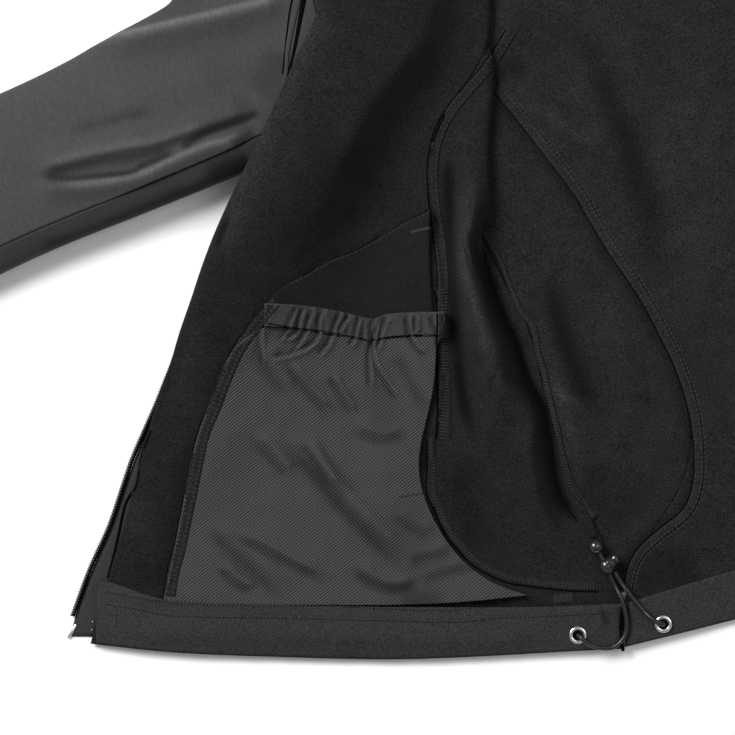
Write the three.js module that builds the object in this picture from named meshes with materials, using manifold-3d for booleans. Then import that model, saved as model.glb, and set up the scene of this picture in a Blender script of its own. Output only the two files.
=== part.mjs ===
// Softshell jacket laid open on a table
//
// The jacket lies on its back. Its right front is thrown open with the fleece inside up, its left front is
// closed over the back. Units are millimetres, +Z is up from the table and +Y runs from the hem to the neck.

import * as THREE from "three";
import Module from "manifold-3d";
import { mergeVertices } from "three/addons/utils/BufferGeometryUtils.js";

const wasm = await Module();
wasm.setup();

// Driving dimensions of the cut
const hemHalf = 280;
const hemDrop = 30;
const shoulder = { x: 232, y: 668 };
const neckPoint = { x: 85, y: 735 };
const backNeckY = 722;
const frontNeckY = 655;
const collarHeight = 75;
const clothThickness = 2;
const liningThickness = 1;
const tapeThickness = 0.8;
const facingThickness = 1.4;
const hemBand = 26.7;
const seamGap = 0.3;
const edgeInset = 0.18;

// The opened front is measured across its hem and up square to it, from the foot of the right side seam.
// The whole opened front leans by this angle against the back.
const lean = THREE.MathUtils.degToRad(22);

// Rows of the opened front, from the hem up to the neck point
const rowsUp = [
  0, 12, 24, 26.7, 28.8, 32.7, 39.2, 48, 59, 77, 95, 113, 131, 150, 169, 185, 200, 219.3, 235, 252, 270, 288,
  305, 319.5, 335, 350, 372, 397, 420, 455, 495, 538, 585, 636, 670, 712, 752,
];
const foldStartUp = 219.3;
const seamTurnUp = 319.5;
const armholeFootUp = 420;
const underarmUp = 397;

// Edge of the cloth beside the zip, and how far it is rolled under above the open half
const openEdge = [
  { up: 0, across: -285 }, { up: 37, across: -274.3 }, { up: 69, across: -265 },
  { up: 101, across: -256.9 },
  { up: 126, across: -250.3 }, { up: 160, across: -237.8 }, { up: 193, across: -225.9 },
  { up: 226, across: -212.2 }, { up: 279, across: -189.9 }, { up: 313, across: -174.1 },
  { up: 348, across: -157.8 }, { up: 400, across: -146 }, { up: 450, across: -137 },
  { up: 520, across: -126 },
  { up: 580, across: -119 }, { up: 630, across: -114 }, { up: 690, across: -104 }, { up: 752, across: -96 },
];
const rolledUnder = [
  { up: 165, width: 0 }, { up: 193, width: 12 }, { up: 226, width: 17 }, { up: 279, width: 24 },
  { up: 348, width: 34 }, { up: 400, width: 30 }, { up: 450, width: 24 }, { up: 520, width: 14 },
  { up: 580, width: 6 }, { up: 615, width: 0 },
];
const foldLine = [
  { up: 219.3, across: -74 }, { up: 235, across: -70.6 }, { up: 269, across: -70.4 },
  { up: 300, across: -67 },
  { up: 348, across: -68.6 }, { up: 400, across: -70 }, { up: 500, across: -76 }, { up: 600, across: -84 },
  { up: 700, across: -91 }, { up: 752, across: -94 },
];
// Seam between the front and its side panel, on the upper layer and then on the layer under the fold
const frontSeam = [
  { up: 26.7, across: -0.5 }, { up: 28.8, across: -41.9 }, { up: 32.7, across: -61.5 },
  { up: 39.2, across: -74 }, { up: 48, across: -84.9 }, { up: 59, across: -93.6 },
  { up: 77, across: -100.7 },
  { up: 95, across: -100.5 }, { up: 131, across: -94 }, { up: 169, across: -92 },
  { up: 200, across: -94.5 },
  { up: 235, across: -101.3 }, { up: 257, across: -102.3 }, { up: 271, across: -100.1 },
  { up: 284, across: -94.7 }, { up: 298, across: -84.9 }, { up: 310, across: -74 },
  { up: 319.5, across: -67 },
];
const frontSeamBelow = [
  { up: 319.5, across: -67 }, { up: 335, across: -76 }, { up: 350, across: -88 }, { up: 372, across: -108 },
  { up: 397, across: -131 }, { up: 420, across: -150.4 },
];
const armholeBelow = [
  { up: 420, across: -150.4 }, { up: 450, across: -149.5 }, { up: 478, across: -150.2 },
  { up: 508, across: -154.6 }, { up: 538, across: -161.6 }, { up: 570, across: -173 },
  { up: 603, across: -190 },
  { up: 636, across: -204 }, { up: 665, across: -181 }, { up: 700, across: -147 },
  { up: 730, across: -118 },
  { up: 752, across: -97 },
];
// Right side seam, open below the fold and lying between the layers above it
const sideSeam = [
  { up: 0, across: 3 }, { up: 13, across: 5.5 }, { up: 26.7, across: 2.5 }, { up: 40, across: -2 },
  { up: 58, across: -8.7 }, { up: 77, across: -20 }, { up: 92, across: -26.7 }, { up: 111, across: -33.2 },
  { up: 131, across: -38 }, { up: 150, across: -42.4 }, { up: 171, across: -47.3 },
  { up: 192, across: -59.3 },
  { up: 207, across: -67.5 }, { up: 219.3, across: -74 },
];
const sideSeamBelow = [
  { up: 219.3, across: -74 }, { up: 263, across: -95.6 }, { up: 308, across: -119 },
  { up: 352, across: -142.3 },
  { up: 397, across: -165.7 },
];
const underarmCurve = [{ up: 397, across: -165.7 }, { up: 410, across: -160 }, { up: 420, across: -150.4 }];

// How the hem's lower edge dips below its straight line
const hemDip = [
  { across: -290, dip: 1 }, { across: -240, dip: 6.5 }, { across: -117, dip: 10.3 },
  { across: -53, dip: 7.6 },
  { across: -10, dip: 4.9 }, { across: 30, dip: 4 },
];
const hemDipReach = 20;

// Back seam of the side panel, in the same measure
const backSeam = [
  { up: 25.6, across: 4.4 }, { up: 40.3, across: 8 }, { up: 51.2, across: 12.5 }, { up: 62.6, across: 22 },
  { up: 73.5, across: 32.1 }, { up: 95, across: 43 }, { up: 120, across: 43 }, { up: 149.7, across: 33.2 },
  { up: 198.1, across: 9.8 }, { up: 243.3, across: -20.7 }, { up: 287.3, across: -52.8 },
  { up: 340, across: -91 }, { up: 385, across: -126 }, { up: 420, across: -150.4 },
];

// The soft ridge of spare cloth beside the side seam
const sideRidge = [
  { up: 95, across: -62, halfWidth: 18, height: 2 }, { up: 120, across: -62, halfWidth: 16, height: 8 },
  { up: 142, across: -68, halfWidth: 14, height: 12 }, { up: 163, across: -73, halfWidth: 13, height: 14 },
  { up: 185, across: -79, halfWidth: 12, height: 14 }, { up: 212, across: -82, halfWidth: 11, height: 12 },
  { up: 240, across: -80, halfWidth: 10, height: 8 }, { up: 262, across: -79, halfWidth: 9, height: 0 },
];

// Sleeves: both silhouettes and the height of each section, in garment measure
const rightSleeveRows = [
  { outerX: -237, outerY: 673, innerX: -285.6, innerY: 431, height: 12, onArmhole: 1 },
  { outerX: -262, outerY: 660, innerX: -288, innerY: 427, height: 17, onArmhole: 0.8 },
  { outerX: -290, outerY: 634, innerX: -290, innerY: 422, height: 26, onArmhole: 0.35 },
  { outerX: -314, outerY: 594, innerX: -291, innerY: 418, height: 32 },
  { outerX: -334, outerY: 546, innerX: -291, innerY: 411, height: 34 },
  { outerX: -350, outerY: 496, innerX: -291, innerY: 402, height: 32 },
  { outerX: -362, outerY: 450, innerX: -291, innerY: 390, height: 28 },
  { outerX: -368, outerY: 424, innerX: -291, innerY: 374, height: 26 },
  { outerX: -371, outerY: 414, innerX: -293, innerY: 353, height: 25 },
  { outerX: -374, outerY: 411, innerX: -304, innerY: 329, height: 25 },
  { outerX: -379, outerY: 409.5, innerX: -330, innerY: 313, height: 26 },
  { outerX: -390, outerY: 408, innerX: -364, innerY: 309, height: 28 },
  { outerX: -412, outerY: 405, innerX: -398, innerY: 309, height: 30 },
  { outerX: -445, outerY: 401, innerX: -440, innerY: 309, height: 30 },
  { outerX: -485, outerY: 399, innerX: -482, innerY: 310, height: 28 },
  { outerX: -530, outerY: 400, innerX: -528, innerY: 307, height: 26 },
  { outerX: -575, outerY: 402, innerX: -573, innerY: 302, height: 24 },
  { outerX: -618, outerY: 404, innerX: -615, innerY: 297, height: 22 },
  { outerX: -655, outerY: 405, innerX: -652, innerY: 294, height: 20 },
];
const leftSleeveRows = [
  { outerX: 237, outerY: 673, innerX: 285.6, innerY: 431, height: 12, onArmhole: 1 },
  { outerX: 272, outerY: 664, innerX: 288, innerY: 424, height: 14, onArmhole: 0.75 },
  { outerX: 310, outerY: 641, innerX: 292, innerY: 413, height: 19, onArmhole: 0.3 },
  { outerX: 347, outerY: 602, innerX: 300, innerY: 396, height: 22 },
  { outerX: 382, outerY: 550, innerX: 314, innerY: 370, height: 23 },
  { outerX: 416, outerY: 492, innerX: 334, innerY: 333, height: 23 },
  { outerX: 450, outerY: 430, innerX: 358, innerY: 290, height: 22 },
  { outerX: 484, outerY: 366, innerX: 384, innerY: 242, height: 21 },
  { outerX: 517, outerY: 302, innerX: 411, innerY: 193, height: 20 },
  { outerX: 549, outerY: 238, innerX: 438, innerY: 146, height: 18 },
  { outerX: 580, outerY: 176, innerX: 466, innerY: 100, height: 16 },
  { outerX: 593, outerY: 150, innerX: 478, innerY: 81, height: 15 },
];
const sleeveSides = 18;

// Mesh pocket, its elastic casing and the hand pocket's bag, measured as the opened front is
const pocketSeam = [
  { up: 20, across: -245.5 }, { up: 57.1, across: -237.8 }, { up: 83.8, across: -232.9 },
  { up: 105.6, across: -228.6 }, { up: 129.5, across: -219.9 }, { up: 158.4, across: -207.9 },
  { up: 171.4, across: -198.6 }, { up: 185.6, across: -187.2 },
];
const casingLine = [
  { across: -190, up: 176.5 }, { across: -170, up: 175.4 }, { across: -151, up: 172.6 },
  { across: -133, up: 168.6 }, { across: -125, up: 170.8 }, { across: -110, up: 172 },
  { across: -93, up: 172 },
];
const casingHeight = 12.5;
const bagTop = [
  { across: -187.2, up: 187 }, { across: -173.1, up: 195.9 }, { across: -154.6, up: 206.3 },
  { across: -140.4, up: 212.2 }, { across: -117, up: 225.9 }, { across: -101, up: 234 },
];
const gathers = [
  { across: -171, depth: 1.6 }, { across: -165, depth: 1.2 }, { across: -159, depth: 1.7 },
  { across: -150, depth: 1.2 }, { across: -145, depth: 1.8 }, { across: -137, depth: 1.7 },
  { across: -131, depth: 2 }, { across: -126, depth: 1.4 }, { across: -113, depth: 1.5 },
  { across: -105, depth: 1.1 },
];
const meshFolds = [
  { fromAcross: -182, fromUp: 110, toAcross: -120, toUp: 46, width: 7, depth: 3.2 },
  { fromAcross: -202, fromUp: 57, toAcross: -156, toUp: 31, width: 6, depth: 1.8 },
  { fromAcross: -147, fromUp: 107, toAcross: -117, toUp: 92, width: 5, depth: 1.6 },
  { fromAcross: -151, fromUp: 39, toAcross: -118, toUp: 33, width: 5, depth: 1.6 },
  { fromAcross: -138, fromUp: 160, toAcross: -119, toUp: 128, width: 4, depth: 2 },
];

// Hem drawcord with its eyelets, lock and bead
const eyeletOuter = 4.8;
const eyeletInner = 2.7;
const eyeletHeight = 1.1;
const leftEyelet = { across: -20.7, up: 3.3 };
const rightEyelet = { across: 25.6, up: 9.3 };
const cordDiameter = 2.6;
const cordSides = 8;
const lockCentre = { across: -5.4, up: 40.8 };
const lockRadius = 4.9;
const lockLength = 8.4;
const lockTurn = THREE.MathUtils.degToRad(42);
const buttonRadius = 3;
const buttonTravel = 2.5;
const beadCentre = { across: -11.4, up: 51.5 };
const beadRadius = 4.1;
const tabFoot = { across: -15.2, up: 66 };
const tabWidth = 4.6;

// Zip on the closed left front
const sliderWidth = 8;
const sliderHeight = 5;
const sliderStart = 9;
const sliderEnd = 21;
const zipStart = 21.5;
const pullLength = 22;
const pullWidth = 6;
const pullThickness = 1.4;
const pullTilt = THREE.MathUtils.degToRad(10);
const hingeRadius = 0.7;
const hingeClearance = 0.35;
const knuckleRadius = 1.75;
const knuckleLength = 3.2;
const cheekThickness = 0.9;

// How far the cloth stands up beside the fold
const foldPlumpness = 5;
const foldPlumpWidth = 16;
const casingFullness = 2.4;
const armholeGap = 2.4;
const collarThickness = 3;
const weltWidth = 11;

// The pile is a map of the highest cloth over each cell of the table.
class Pile {
  constructor(cell) {
    this.cell = cell;
    this.tops = new Map();
  }

  index(x, y) {
    return Math.floor(x / this.cell) * 8192 + Math.floor(y / this.cell);
  }

  raise(point) {
    const key = this.index(point.x, point.y);
    this.tops.set(key, Math.max(this.tops.get(key) ?? 0, point.z));
  }

  put(geometry) {
    const flat = geometry.index ? geometry.toNonIndexed() : geometry;
    const position = flat.getAttribute("position");
    const corner = [new THREE.Vector3(), new THREE.Vector3(), new THREE.Vector3()];
    for (let face = 0; face < position.count; face += 3) {
      corner.forEach((vertex, k) => vertex.fromBufferAttribute(position, face + k));
      const [a, b, c] = corner;
      const longest = Math.max(a.distanceTo(b), b.distanceTo(c), c.distanceTo(a));
      const steps = Math.max(1, Math.ceil((2 * longest) / this.cell));
      for (let i = 0; i <= steps; i += 1) {
        for (let j = 0; j <= steps - i; j += 1) {
          const point = a.clone().multiplyScalar((steps - i - j) / steps);
          point.addScaledVector(b, i / steps).addScaledVector(c, j / steps);
          this.raise(point);
        }
      }
    }
  }

  heightAt(x, y, reach) {
    const cells = Math.ceil(reach / this.cell);
    let highest = 0;
    for (let i = -cells; i <= cells; i += 1) {
      for (let j = -cells; j <= cells; j += 1) {
        const key = this.index(x + i * this.cell, y + j * this.cell);
        highest = Math.max(highest, this.tops.get(key) ?? 0);
      }
    }
    return highest;
  }
}

const pile = new Pile(4);

// Reads a table's column at a place between its rows, smoothly
function read(table, place, by, column) {
  const last = table.length - 1;
  if (place <= table[0][by]) return table[0][column];
  if (place >= table[last][by]) return table[last][column];
  let i = 0;
  while (table[i + 1][by] < place) i += 1;
  const row = (k) => table[Math.min(Math.max(k, 0), last)];
  const slope = (k) => {
    const span = row(k + 1)[by] - row(k - 1)[by];
    return span === 0 ? 0 : (row(k + 1)[column] - row(k - 1)[column]) / span;
  };
  const span = row(i + 1)[by] - row(i)[by];
  const t = (place - row(i)[by]) / span;
  const rise = row(i + 1)[column] - row(i)[column];
  const limit = (value) =>
    value * rise <= 0 ? 0 : Math.sign(rise) * Math.min(Math.abs(value), 3 * Math.abs(rise));
  const start = limit(slope(i) * span);
  const end = limit(slope(i + 1) * span);
  const t2 = t * t;
  const t3 = t2 * t;
  return row(i)[column] + rise * (3 * t2 - 2 * t3) + start * (t3 - 2 * t2 + t) + end * (t3 - t2);
}

const acrossAt = (table, up) => read(table, up, "up", "across");

// Place on the table of a point measured on the opened front
function opened(across, up) {
  return new THREE.Vector2(
    -hemHalf + Math.cos(lean) * across + Math.sin(lean) * up,
    -Math.sin(lean) * across + Math.cos(lean) * up,
  );
}

// The same for the panel's own rows, whose lowest follows the dip of the hem
function openedRow(across, up) {
  const fade = Math.max(0, 1 - up / hemDipReach);
  return opened(across, up - read(hemDip, across, "across", "dip") * fade);
}

function measured(point) {
  const x = point.x + hemHalf;
  return {
    across: Math.cos(lean) * x - Math.sin(lean) * point.y,
    up: Math.sin(lean) * x + Math.cos(lean) * point.y,
  };
}

const acrossDirection = new THREE.Vector3(Math.cos(lean), -Math.sin(lean), 0);
const towardsZip = acrossDirection.clone().negate();
const UP = new THREE.Vector3(0, 0, 1);

// A closed wall from a grid of stations, each a middle point, the way it faces and its thickness.
// Stations that fall together are welded, and faces that vanish there are left out.
function wall(stations) {
  const points = [];
  const known = new Map();
  const index = [];
  const weld = (point) => {
    const key = point.toArray().map((value) => Math.round(value * 1000)).join(",");
    if (!known.has(key)) {
      known.set(key, points.length);
      points.push(point);
    }
    return known.get(key);
  };
  const face = (a, b, c) => {
    if (a !== b && b !== c && c !== a) index.push(a, b, c);
  };
  const side = (sign) =>
    stations.map((row) =>
      row.map(({ middle, facing, thickness }) =>
        weld(middle.clone().addScaledVector(facing, (sign * thickness) / 2)),
      ),
    );
  const front = side(1);
  const rear = side(-1);
  const rows = stations.length - 1;
  const columns = stations[0].length - 1;
  for (let i = 0; i < rows; i += 1) {
    for (let j = 0; j < columns; j += 1) {
      face(front[i][j], front[i][j + 1], front[i + 1][j + 1]);
      face(front[i][j], front[i + 1][j + 1], front[i + 1][j]);
      face(rear[i][j], rear[i + 1][j + 1], rear[i][j + 1]);
      face(rear[i][j], rear[i + 1][j], rear[i + 1][j + 1]);
    }
  }
  const loop = [];
  for (let j = 0; j < columns; j += 1) loop.push([0, j]);
  for (let i = 0; i < rows; i += 1) loop.push([i, columns]);
  for (let j = columns; j > 0; j -= 1) loop.push([rows, j]);
  for (let i = rows; i > 0; i -= 1) loop.push([i, 0]);
  loop.forEach(([i, j], k) => {
    const [nextI, nextJ] = loop[(k + 1) % loop.length];
    face(rear[i][j], rear[nextI][nextJ], front[nextI][nextJ]);
    face(rear[i][j], front[nextI][nextJ], front[i][j]);
  });
  const geometry = new THREE.BufferGeometry();
  geometry.setAttribute("position", new THREE.Float32BufferAttribute(points.flatMap((p) => p.toArray()), 3));
  geometry.setIndex(index);
  geometry.computeVertexNormals();
  return geometry;
}

// Moves the edges of a plan inwards by a little over half the seam gap
function drawIn(plan, sides = ["left", "right", "bottom", "top"]) {
  const rows = plan.length - 1;
  const columns = plan[0].length - 1;
  const at = (i, j) => plan[Math.min(Math.max(i, 0), rows)][Math.min(Math.max(j, 0), columns)];
  return plan.map((row, i) =>
    row.map((point, j) => {
      const moved = point.clone();
      const shift = (along, inward) => {
        if (along.length() < 1e-6) return;
        const normal = new THREE.Vector2(-along.y, along.x).normalize();
        if (normal.dot(inward) < 0) normal.negate();
        moved.addScaledVector(normal, edgeInset);
      };
      const run = (a, b) => a.clone().sub(b);
      const upTheSide = run(at(i + 1, j), at(i - 1, j));
      const alongTheRow = run(at(i, j + 1), at(i, j - 1));
      if (j === 0 && sides.includes("left")) shift(upTheSide, run(at(i, 1), point));
      if (j === columns && sides.includes("right")) shift(upTheSide, run(at(i, j - 1), point));
      if (i === 0 && sides.includes("bottom")) shift(alongTheRow, run(at(1, j), point));
      if (i === rows && sides.includes("top")) shift(alongTheRow, run(at(i - 1, j), point));
      return moved;
    }),
  );
}

// An edge made of stretches, each a smooth line through its points in so many steps
function edge(...stretches) {
  const points = [];
  for (const { through, steps } of stretches) {
    const line = new THREE.SplineCurve(through.map(([x, y]) => new THREE.Vector2(x, y)));
    line.arcLengthDivisions = 400;
    line.getSpacedPoints(steps).forEach((point, k) => {
      if (k > 0 || points.length === 0) points.push(point);
    });
  }
  return points;
}

// A four-sided plan blended between its edges
function coons(bottom, top, left, right) {
  const rows = left.length - 1;
  const columns = bottom.length - 1;
  return left.map((leftPoint, i) =>
    bottom.map((bottomPoint, j) => {
      const u = j / columns;
      const v = i / rows;
      const blend = (p, q, r, s) =>
        (1 - v) * p + v * q + (1 - u) * r + u * s;
      const corner = (key) =>
        (1 - u) * (1 - v) * bottom[0][key] + u * (1 - v) * bottom[columns][key]
        + (1 - u) * v * top[0][key] + u * v * top[columns][key];
      return new THREE.Vector2(
        blend(bottomPoint.x, top[j].x, leftPoint.x, right[i].x) - corner("x"),
        blend(bottomPoint.y, top[j].y, leftPoint.y, right[i].y) - corner("y"),
      );
    }),
  );
}

// Lays a plan on what is below it: the lowest heights that clear the pile, eased between neighbours
function rest(plan, reach, relief = () => 0) {
  const floor = plan.map((row) =>
    row.map((point) => {
      const below = pile.heightAt(point.x, point.y, reach);
      return below > 0 ? below + seamGap : 0;
    }),
  );
  let heights = floor;
  const rows = plan.length - 1;
  const columns = plan[0].length - 1;
  for (let pass = 0; pass < 6; pass += 1) {
    const previous = heights;
    heights = previous.map((row, i) =>
      row.map((height, j) => {
        const around = [
          previous[Math.max(i - 1, 0)][j], previous[Math.min(i + 1, rows)][j],
          row[Math.max(j - 1, 0)], row[Math.min(j + 1, columns)],
        ];
        const mean = around.reduce((sum, value) => sum + value, 0) / around.length;
        return Math.max(floor[i][j], (height + mean) / 2);
      }),
    );
  }
  return heights.map((row, i) => row.map((height, j) => height + relief(plan[i][j])));
}

function laidWall(plan, reach, thickness, relief) {
  const heights = rest(plan, reach, relief);
  return wall(
    plan.map((row, i) =>
      row.map((point, j) => ({
        middle: new THREE.Vector3(point.x, point.y, heights[i][j] + thickness / 2),
        facing: UP,
        thickness,
      })),
    ),
  );
}

const softshell = { color: 0x45464a, roughness: 0.85, metalness: 0 };
const fleece = { color: 0x242528, roughness: 1, metalness: 0 };
const facingCloth = { color: 0x303135, roughness: 0.85, metalness: 0 };
const meshKnit = { color: 0x3a3b3f, roughness: 0.7, metalness: 0 };
const zipTape = { color: 0x5a5c60, roughness: 0.8, metalness: 0 };
const blackPlastic = { color: 0x0e0e10, roughness: 0.2, metalness: 0 };
const silver = { color: 0xd2d4d6, roughness: 0.25, metalness: 1 };

const garment = new THREE.Group();

function piece(name, geometry, finish) {
  const mesh = new THREE.Mesh(geometry, new THREE.MeshStandardMaterial(finish));
  mesh.name = name;
  garment.add(mesh);
  return mesh;
}

// Pieces of one layer are laid side by side and only then counted in the pile.
function layer(...meshes) {
  meshes.forEach((mesh) => pile.put(mesh.geometry));
}

const pair = (point) => [point.x, point.y];
const openedPair = (row) => pair(opened(row.across, row.up));
const armholeFoot = openedPair({ across: -150.4, up: armholeFootUp });
const underarm = openedPair({ across: -165.7, up: underarmUp });
const shoulderTip = [-shoulder.x, shoulder.y];
const neckTip = [-neckPoint.x, neckPoint.y];
const backNeckline = [
  neckTip, [-55, backNeckY + 5], [0, backNeckY], [55, backNeckY + 5], [neckPoint.x, neckPoint.y],
];
const armhole = [armholeFoot, [-244, 482], [-229, 545], [-226, 605], shoulderTip];
const sideSeamLine = [...sideSeam.slice(2), ...sideSeamBelow.slice(1)].map(openedPair);
const backSeamLine = backSeam.map(openedPair);

// The closed left half keeps the seams as they are cut.
const restingHemFoot = [277, -1];
const restingSideSeam = [
  [276, 25], [272, 90], [269, 160], [270, 240], [275, 330], [280, 385], [-underarm[0], underarm[1]],
];
const restingBackSeam = [
  [269, 23], [255, 34], [234, 50], [215, 72], [200, 100], [193, 135], [195, 175], [203, 220], [217, 272],
  [232, 325], [247, 382], [-armholeFoot[0], armholeFoot[1]],
];

// Back: one panel with a dropped tail
const seamSteps = 14;
const leafSteps = 3;
function backPlan() {
  const hemFoot = openedPair({ across: 3, up: 0 });
  const bandTop = backSeamLine[0];
  const halfSteps = { hem: 6, band: 1, seam: seamSteps, armhole: 6, shoulder: 3, neck: 3 };
  const leftEdge = edge(
    { through: [hemFoot, bandTop], steps: halfSteps.band },
    { through: backSeamLine, steps: halfSteps.seam },
    { through: armhole, steps: halfSteps.armhole },
  );
  const rightEdge = edge(
    { through: [restingHemFoot, restingBackSeam[0]], steps: halfSteps.band },
    { through: restingBackSeam, steps: halfSteps.seam },
    { through: armhole.map(([x, y]) => [-x, y]), steps: halfSteps.armhole },
  );
  const bottom = edge({
    through: [
      hemFoot, [-200, -16], [-100, -hemDrop + 3], [0, -hemDrop], [100, -hemDrop + 3], [200, -16],
      restingHemFoot,
    ],
    steps: 2 * halfSteps.hem,
  });
  const top = edge(
    { through: [shoulderTip, neckTip], steps: halfSteps.shoulder },
    { through: backNeckline, steps: 2 * halfSteps.neck },
    { through: [[neckPoint.x, neckPoint.y], [shoulder.x, shoulder.y]], steps: halfSteps.shoulder },
  );
  return coons(bottom, top, leftEdge, rightEdge);
}

// Side panels: a leaf between the side seam and the curved seam
function leafPlan(leftLine, rightLine) {
  const ends = (k) => [leftLine[k(leftLine)], rightLine[k(rightLine)]];
  return coons(
    edge({ through: ends(() => 0), steps: leafSteps }),
    edge({ through: ends((line) => line.length - 1), steps: leafSteps }),
    edge({ through: leftLine, steps: seamSteps }),
    edge({ through: rightLine, steps: seamSteps }),
  );
}

const backWall = laidWall(drawIn(backPlan()), 0, clothThickness);
const sideLeaf = drawIn(leafPlan(sideSeamLine, backSeamLine));
const restingLeaf = drawIn(leafPlan(restingBackSeam, restingSideSeam));
layer(
  piece("back", backWall, fleece),
  piece("side_back_right", laidWall(sideLeaf, 0, clothThickness), fleece),
  piece("side_back_left", laidWall(restingLeaf, 0, clothThickness), fleece),
);

// Opened right front: columns on each stretch of a row, from the zip edge round both rolled edges
const columnsOf = { under: 2, upper: 11, sideUpper: 9, below: 3, roll: 3 };

// A roll of cloth joins an edge point of the upper layer with the one straight below it.
function rolled(upper, lower, outward) {
  const radius = (upper.z - lower.z) / 2;
  const centre = upper.clone().add(lower).multiplyScalar(0.5);
  const stations = [];
  for (let k = 1; k <= columnsOf.roll; k += 1) {
    const angle = (Math.PI * k) / (columnsOf.roll + 1);
    const facing = UP.clone().multiplyScalar(Math.cos(angle)).addScaledVector(outward, Math.sin(angle));
    const middle = centre.clone().addScaledVector(facing, radius);
    stations.push({ middle, facing, thickness: clothThickness });
  }
  return stations;
}

const spread = (from, to, steps) =>
  Array.from({ length: steps + 1 }, (_, k) => from + ((to - from) * k) / steps);

const rollDepth = 3.4;
const seamAt = (up) => (up <= seamTurnUp ? acrossAt(frontSeam, up) : acrossAt(foldLine, up));
const seamBelowAt = (up) => (up <= armholeFootUp ? acrossAt(frontSeamBelow, up) : acrossAt(armholeBelow, up));
const sideAt = (up) => (up <= foldStartUp ? acrossAt(sideSeam, up) : acrossAt(foldLine, up));
const sideBelowAt = (up) => (up <= underarmUp ? acrossAt(sideSeamBelow, up) : acrossAt(underarmCurve, up));
const foldFoot = (up) => acrossAt(foldLine, up) - rollDepth;

// Plan of the layer under the fold, from the fold outwards
function belowPlan(rows, start, end) {
  return rows.map((up) => spread(start(up), end(up), columnsOf.below).map((across) => opened(across, up)));
}

const frontRowsBelow = rowsUp.filter((up) => up > seamTurnUp);
const sideRowsBelow = rowsUp.filter((up) => up > foldStartUp && up <= armholeFootUp);
const frontBelow = belowPlan(
  frontRowsBelow,
  foldFoot,
  (up) => Math.min(seamBelowAt(up) + edgeInset, foldFoot(up) - 1),
);
const sideBelow = belowPlan(
  sideRowsBelow,
  (up) => Math.min(foldFoot(up), up > seamTurnUp ? seamBelowAt(up) - edgeInset : 0),
  (up) => Math.min(sideBelowAt(up) + edgeInset, (up > seamTurnUp ? seamBelowAt(up) : foldFoot(up)) - 1),
);
const backReach = 6;
const frontBelowHeights = rest(frontBelow, backReach);
const sideBelowHeights = rest(sideBelow, backReach);

function stationsBelow(plan, heights) {
  return plan.map((row, i) =>
    row.map((point, j) => ({
      middle: new THREE.Vector3(point.x, point.y, heights[i][j] + clothThickness / 2),
      facing: UP.clone().negate(),
      thickness: clothThickness,
    })),
  );
}

const frontBelowStations = stationsBelow(frontBelow, frontBelowHeights);
const sideBelowStations = stationsBelow(sideBelow, sideBelowHeights);
const reversedRows = (stations) => stations.map((row) => [...row].reverse());
pile.put(wall(reversedRows(frontBelowStations).map((row) => row.map((s) => ({ ...s, facing: UP })))));
pile.put(wall(reversedRows(sideBelowStations).map((row) => row.map((s) => ({ ...s, facing: UP })))));

// Sleeve heads follow the armhole, just outside it.
const armholeLine = new THREE.SplineCurve([underarm, ...armhole].map(([x, y]) => new THREE.Vector2(x, y)));
function onArmhole(share, side) {
  const point = armholeLine.getPointAt(share);
  const tangent = armholeLine.getTangentAt(share);
  return new THREE.Vector3(-side * (-point.x + armholeGap * tangent.y), point.y + armholeGap * tangent.x, 0);
}

// Sleeve: sections between two silhouettes, flat below and round at the sides
const sleeveFlatness = 0.72;
function sleeve(rows, fromShare, toShare, columns, side) {
  const stations = rows.map((row) => {
    const outer = new THREE.Vector3(row.outerX, row.outerY, 0);
    const inner = new THREE.Vector3(row.innerX, row.innerY, 0);
    const across = outer.clone().sub(inner);
    const halfWidth = across.length() / 2;
    across.normalize();
    const middle = outer.clone().add(inner).multiplyScalar(0.5);
    const halfHeight = row.height / 2;
    return spread(fromShare, toShare, columns).map((share) => {
      const angle = share * 2 * Math.PI;
      const shape = (value) => Math.sign(value) * Math.pow(Math.abs(value), sleeveFlatness);
      const u = shape(Math.cos(angle)) * (halfWidth - clothThickness / 2);
      const v = shape(Math.sin(angle)) * (halfHeight - clothThickness / 2);
      const facing = across.clone().multiplyScalar(Math.cos(angle) * halfHeight)
        .addScaledVector(UP, Math.sin(angle) * halfWidth * 0.8).normalize();
      return {
        middle: middle.clone().addScaledVector(across, u)
          .lerp(onArmhole((u / halfWidth + 1) / 2, side), row.onArmhole ?? 0).setZ(halfHeight + v),
        facing,
        thickness: clothThickness,
      };
    });
  });
  return wall(side > 0 ? reversedRows(stations) : stations);
}

// Shares of the way round a section: a quarter is straight up, and the seams lie at these two
const topSeamShare = 0.36;
const underSeamShare = 0.82;
const slit = 0.0011;

function sleevePieces(name, rows, side) {
  const upperColumns = Math.round(sleeveSides * (1 - (underSeamShare - topSeamShare)));
  const underColumns = sleeveSides - upperColumns;
  return [
    piece(
      `sleeve_upper_${name}`,
      sleeve(rows, underSeamShare - 1 + slit, topSeamShare - slit, upperColumns, side),
      softshell,
    ),
    piece(
      `sleeve_under_${name}`,
      sleeve(rows, topSeamShare + slit, underSeamShare - slit, underColumns, side),
      softshell,
    ),
  ];
}

layer(...sleevePieces("right", rightSleeveRows, 1));

// A strip that follows rows of its two edges, each row a list of places across it
function stripPlan(rows, columns, place) {
  return rows.map(({ up, from, to }) => spread(from, to, columns).map((across) => place(across, up)));
}

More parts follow.
